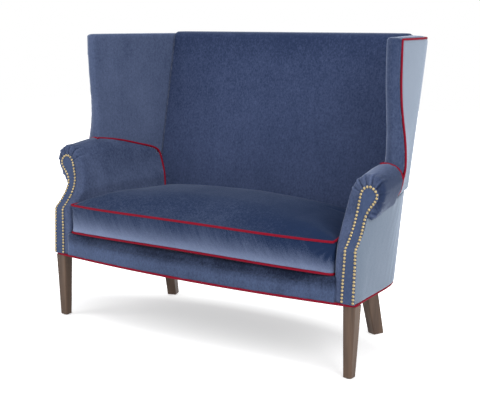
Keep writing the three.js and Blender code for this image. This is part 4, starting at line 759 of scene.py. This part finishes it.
staple_spacing, staple_inset, shortest_edge = 0.045, 0.011, 0.018
staple_length, staple_width, staple_height, staple_edge = 0.0105, 0.0012, 0.0007, 0.0002
staple = Matrix.Diagonal((staple_length, staple_width, staple_height, 1))
edge = bmesh.new()
edge.from_mesh(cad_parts["dust_cover"].data)
bmesh.ops.remove_doubles(edge, verts=edge.verts, dist=same_point)
bmesh.ops.dissolve_limit(edge, angle_limit=0.01, verts=edge.verts, edges=edge.edges)
bm = bmesh.new()
for face in edge.faces:
    span = max(face.edges, key=lambda e: e.calc_length())
    if abs(face.normal.z) > 0.1 or span.calc_length() < shortest_edge:
        continue
    first, last = (v.co.copy() for v in span.verts)
    count = max(1, round(span.calc_length() / staple_spacing))
    turn = math.atan2(last.y - first.y, last.x - first.x)
    for number in range(count):
        spot = first.lerp(last, (number + 0.5) / count) - face.normal * staple_inset
        spot.z = low[2] - 0.0002
        block = bmesh.ops.create_cube(bm, size=1, matrix=Matrix.Translation(spot)
                                      @ Matrix.Rotation(turn, 4, "Z") @ staple)
        rim = {line for v in block["verts"] for line in v.link_edges}
        edges_eased(bm, rim, staple_edge, segments=1)
edge.free()
staples = new_piece(bm, "staples", tempered)
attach(staples, "frame")


# The seat cushion. A block of foam in a boxed velvet cover, crowned on top and bowed at the
# front, piped round both edges, with a zip in its rear boxing. It lies loose on the deck.
seam_low, seam_high, cushion_half = 0.352, 0.452, 0.600
foam_inset, cover_net = 0.006, 0.008
foam = Finish("foam", Roughness=0.95)
cells = foam.noise(900.0)
foam.set("Base Color", foam.mix(cells, (0.66, 0.60, 0.40), (0.84, 0.79, 0.60)))
foam.bump(cells, 0.0004, 0.5)
core = joined_up("cushion_core", "foam_core")
put_points(core, points_of(core) - normals_of(core) * foam_inset)
settled(core, "cushion_core", foam, "cushion")

# The cushion velvet's ramps: its boxing painted much paler towards its lower edge, as painted
# sheen where the filled boxing turns down, its crowned top a little darker, and the whole a little
# darker towards the right end. The fold attribute paints shade in the hollows of the puckers and
# highlight on their ridges.
cushion_velvet = velvet("velvet_cushion", (0.006, 0.015, 0.045), (0.145, 0.180, 0.285), sheen=0.08,
                        stroke=0.3, cloud=0.13, nap=0.17, start=0.08, tilt=0.45,
                        stroke_stretch=(110.0, 110.0, 9.0), folds=0.16,
                        tone_ramps=(("z", 0.4525, 0.352, 0.97, 1.9), ("z", 0.50, 0.46, 0.04),
                               ("x", 0.1, 0.55, -0.14), ("x", 0.50, 0.59, -0.24)))


def blown(piece, pressure, reach, pins):
    """Fills a cover: the cloth swells, held at its pinned points, and none moves past reach."""
    frames = 20
    before = points_of(piece)
    group = piece.vertex_groups.new(name="sewn")
    for index in np.nonzero(pins > 0.01)[0]:
        group.add([int(index)], float(pins[index]), "REPLACE")
    cloth = piece.modifiers.new("fill", "CLOTH")
    cloth.settings.quality = 4
    cloth.settings.use_pressure = True
    cloth.settings.uniform_pressure_force = pressure
    cloth.settings.effector_weights.gravity = 0
    cloth.settings.vertex_group_mass = "sewn"
    cloth.settings.tension_stiffness = cloth.settings.compression_stiffness = 12
    cloth.settings.shear_stiffness = 4
    cloth.settings.bending_stiffness = 0.4
    cloth.point_cache.frame_start = 1
    cloth.point_cache.frame_end = frames
    for step in range(1, frames + 1):
        scene.frame_set(step)
    shaped(piece)
    scene.frame_set(1)
    put_points(piece, within(before, points_of(piece), reach))


cover = evened(joined_up("cushion_core", "cushion"), cover_net)
cover.data.shade_smooth()
eased(cover, rounds=12, reach=0.003, swell=0.002)
start = points_of(cover)
welts = np.concatenate([points_of(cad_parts["cushion_welt_" + edge])
                        for edge in ("top", "bottom")])
tree = KDTree(len(welts))
for index, p in enumerate(welts):
    tree.insert(p, index)
tree.balance()
near = np.array([tree.find(p)[2] for p in start])
blown(cover, pressure=4, reach=0.02, pins=1 - ramp(near, 0.008, 0.016))


def stuffed(points, normals):
    """The boxing filled out to its piping, and the top fuller to the left."""
    boxing_height, boxing_fill, boxing_belly, side_fill = 0.11, 0.004, 0.0075, 0.0035
    crown_places = (-0.585, -0.45, -0.36, -0.12, 0.07, 0.26, 0.40)
    crown_rises = (0, 0.013, 0.010, 0.017, 0.019, 0.010, 0)
    x, y, z = points.T
    upright = 1 - ramp(np.abs(normals[:, 2]), 0.5, 0.8)
    level = np.clip((z - seam_low) / boxing_height, 0, 1)
    front = 1 - ramp(y, 0.0, 0.05)
    out = np.c_[normals[:, :2], np.zeros(len(points))]
    out /= np.maximum(np.linalg.norm(out, axis=1, keepdims=True), 0.2)
    belly = np.sin(math.pi * level) * (0.35 + 0.65 * front)
    fill = (boxing_fill + boxing_belly * belly) * upright
    fill += side_fill * ramp(np.abs(out[:, 0]), 0.5, 0.9) * upright
    moved = points + out * fill[:, None]
    top = ramp(normals[:, 2], 0.5, 0.9)
    rise = np.interp(x, crown_places, crown_rises)
    moved[:, 2] += top * rise * ramp(y, -0.37, -0.20) * (1 - ramp(y, 0.07, 0.112))
    return moved


put_points(cover, stuffed(points_of(cover), normals_of(cover)))
seam = surface_of(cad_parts["cushion_welt_top"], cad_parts["cushion_welt_bottom"])
put_points(cover, drawn_in(points_of(cover), seam, 0.007, 0.032))
rounded(cover, 1)

pucker_count, pucker_depth = 15, 0.0015
place = points_of(cover)
down, inward = seam_high - place[:, 2], cushion_half - np.abs(place[:, 0])
from_corner = np.hypot(down, inward)
puckers = np.cos(np.arctan2(down, inward) * pucker_count) * ramp(from_corner, 0.004, 0.014)
puckers *= (1 - ramp(from_corner, 0.03, 0.085)) * (place[:, 1] < -0.2)
puckers *= np.where(place[:, 0] > 0, 1, 0.5)
put_points(cover, place + normals_of(cover) * (puckers * pucker_depth)[:, None])
# The pucker depths go to the cushion velvet, as painted shade in their hollows and painted
# highlight on their ridges.
fold_shade_layer = cover.data.attributes.new("fold", "FLOAT", "POINT")
fold_shade_layer.data.foreach_set("value", puckers.astype(np.float32))
settled(cover, "cushion_cover", cushion_velvet, "cushion")
cover_face = surface_of(cover)

zip_z, zip_half = 0.405, 0.46
tape_half, coil_half, ribbon = 0.013, 0.0026, 0.0006
tape_rise, coil_rise, turn_rise, coil_round, coil_turns = 0.0012, 0.0022, 0.0009, 0.0006, 230


def on_rear(x, z, out):
    """A point on the cushion's rear boxing, and out from it."""
    spot = cover_face.ray_cast(Vector((x, 0.4, z)), Vector((0, -1, 0)))[0]
    return spot + Vector((0, out, 0))


def zip_strip(name, half, steps, rows, out, finish):
    """A ribbon on the rear boxing, with out(step, row) as its rise from the cloth."""
    bm = bmesh.new()
    bmesh.ops.create_grid(bm, x_segments=steps, y_segments=rows, size=1)
    for v in bm.verts:
        v.co = on_rear(v.co.x * zip_half, zip_z + v.co.y * half, out(v.co.x, v.co.y))
    bmesh.ops.solidify(bm, geom=bm.faces[:], thickness=ribbon)
    bmesh.ops.recalc_face_normals(bm, faces=bm.faces)
    strip = new_piece(bm, name, finish)
    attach(strip, "cushion")


tape = Finish("zip_tape", Base_Color=(0.016, 0.024, 0.055), Roughness=0.9)
tape.bump(tape.noise(1.0, (60.0, 60.0, 1500.0)), 0.0002, 0.5)
coil = Finish("zip_coil", Base_Color=(0.03, 0.035, 0.06), Roughness=0.35)


def coiled(x, y):
    """The turns of the coil, slanted across it, and lower towards its edges."""
    turn = math.cos(x * coil_turns * math.pi + 2.2 * y)
    return coil_rise + turn_rise * turn - coil_round * y * y


zip_strip("zip_tape", tape_half, 90, 4, lambda x, y: tape_rise, tape)
zip_strip("zip_coil", coil_half, 460, 4, coiled, coil)

slider_x, slider_edge = 0.43, 0.0006
slider_body, slider_pull = (0.009, 0.0045, 0.008), (0.005, 0.0016, 0.024)
bm = bmesh.new()
for size, out, up in ((slider_body, 0.0046, 0), (slider_pull, 0.0066, -0.014)):
    stand = Matrix.Translation(on_rear(slider_x, zip_z + up, out)) @ Matrix.Diagonal((*size, 1))
    block = bmesh.ops.create_cube(bm, size=1, matrix=stand)
    edges = {edge for v in block["verts"] for edge in v.link_edges}
    edges_eased(bm, edges, slider_edge)
slider = new_piece(bm, "zip_slider", brass)
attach(slider, "cushion")

for edge in ("top", "bottom"):
    piping("cushion_welt_" + edge, "cushion_piping_" + edge, "cushion", fuller=0.0020)
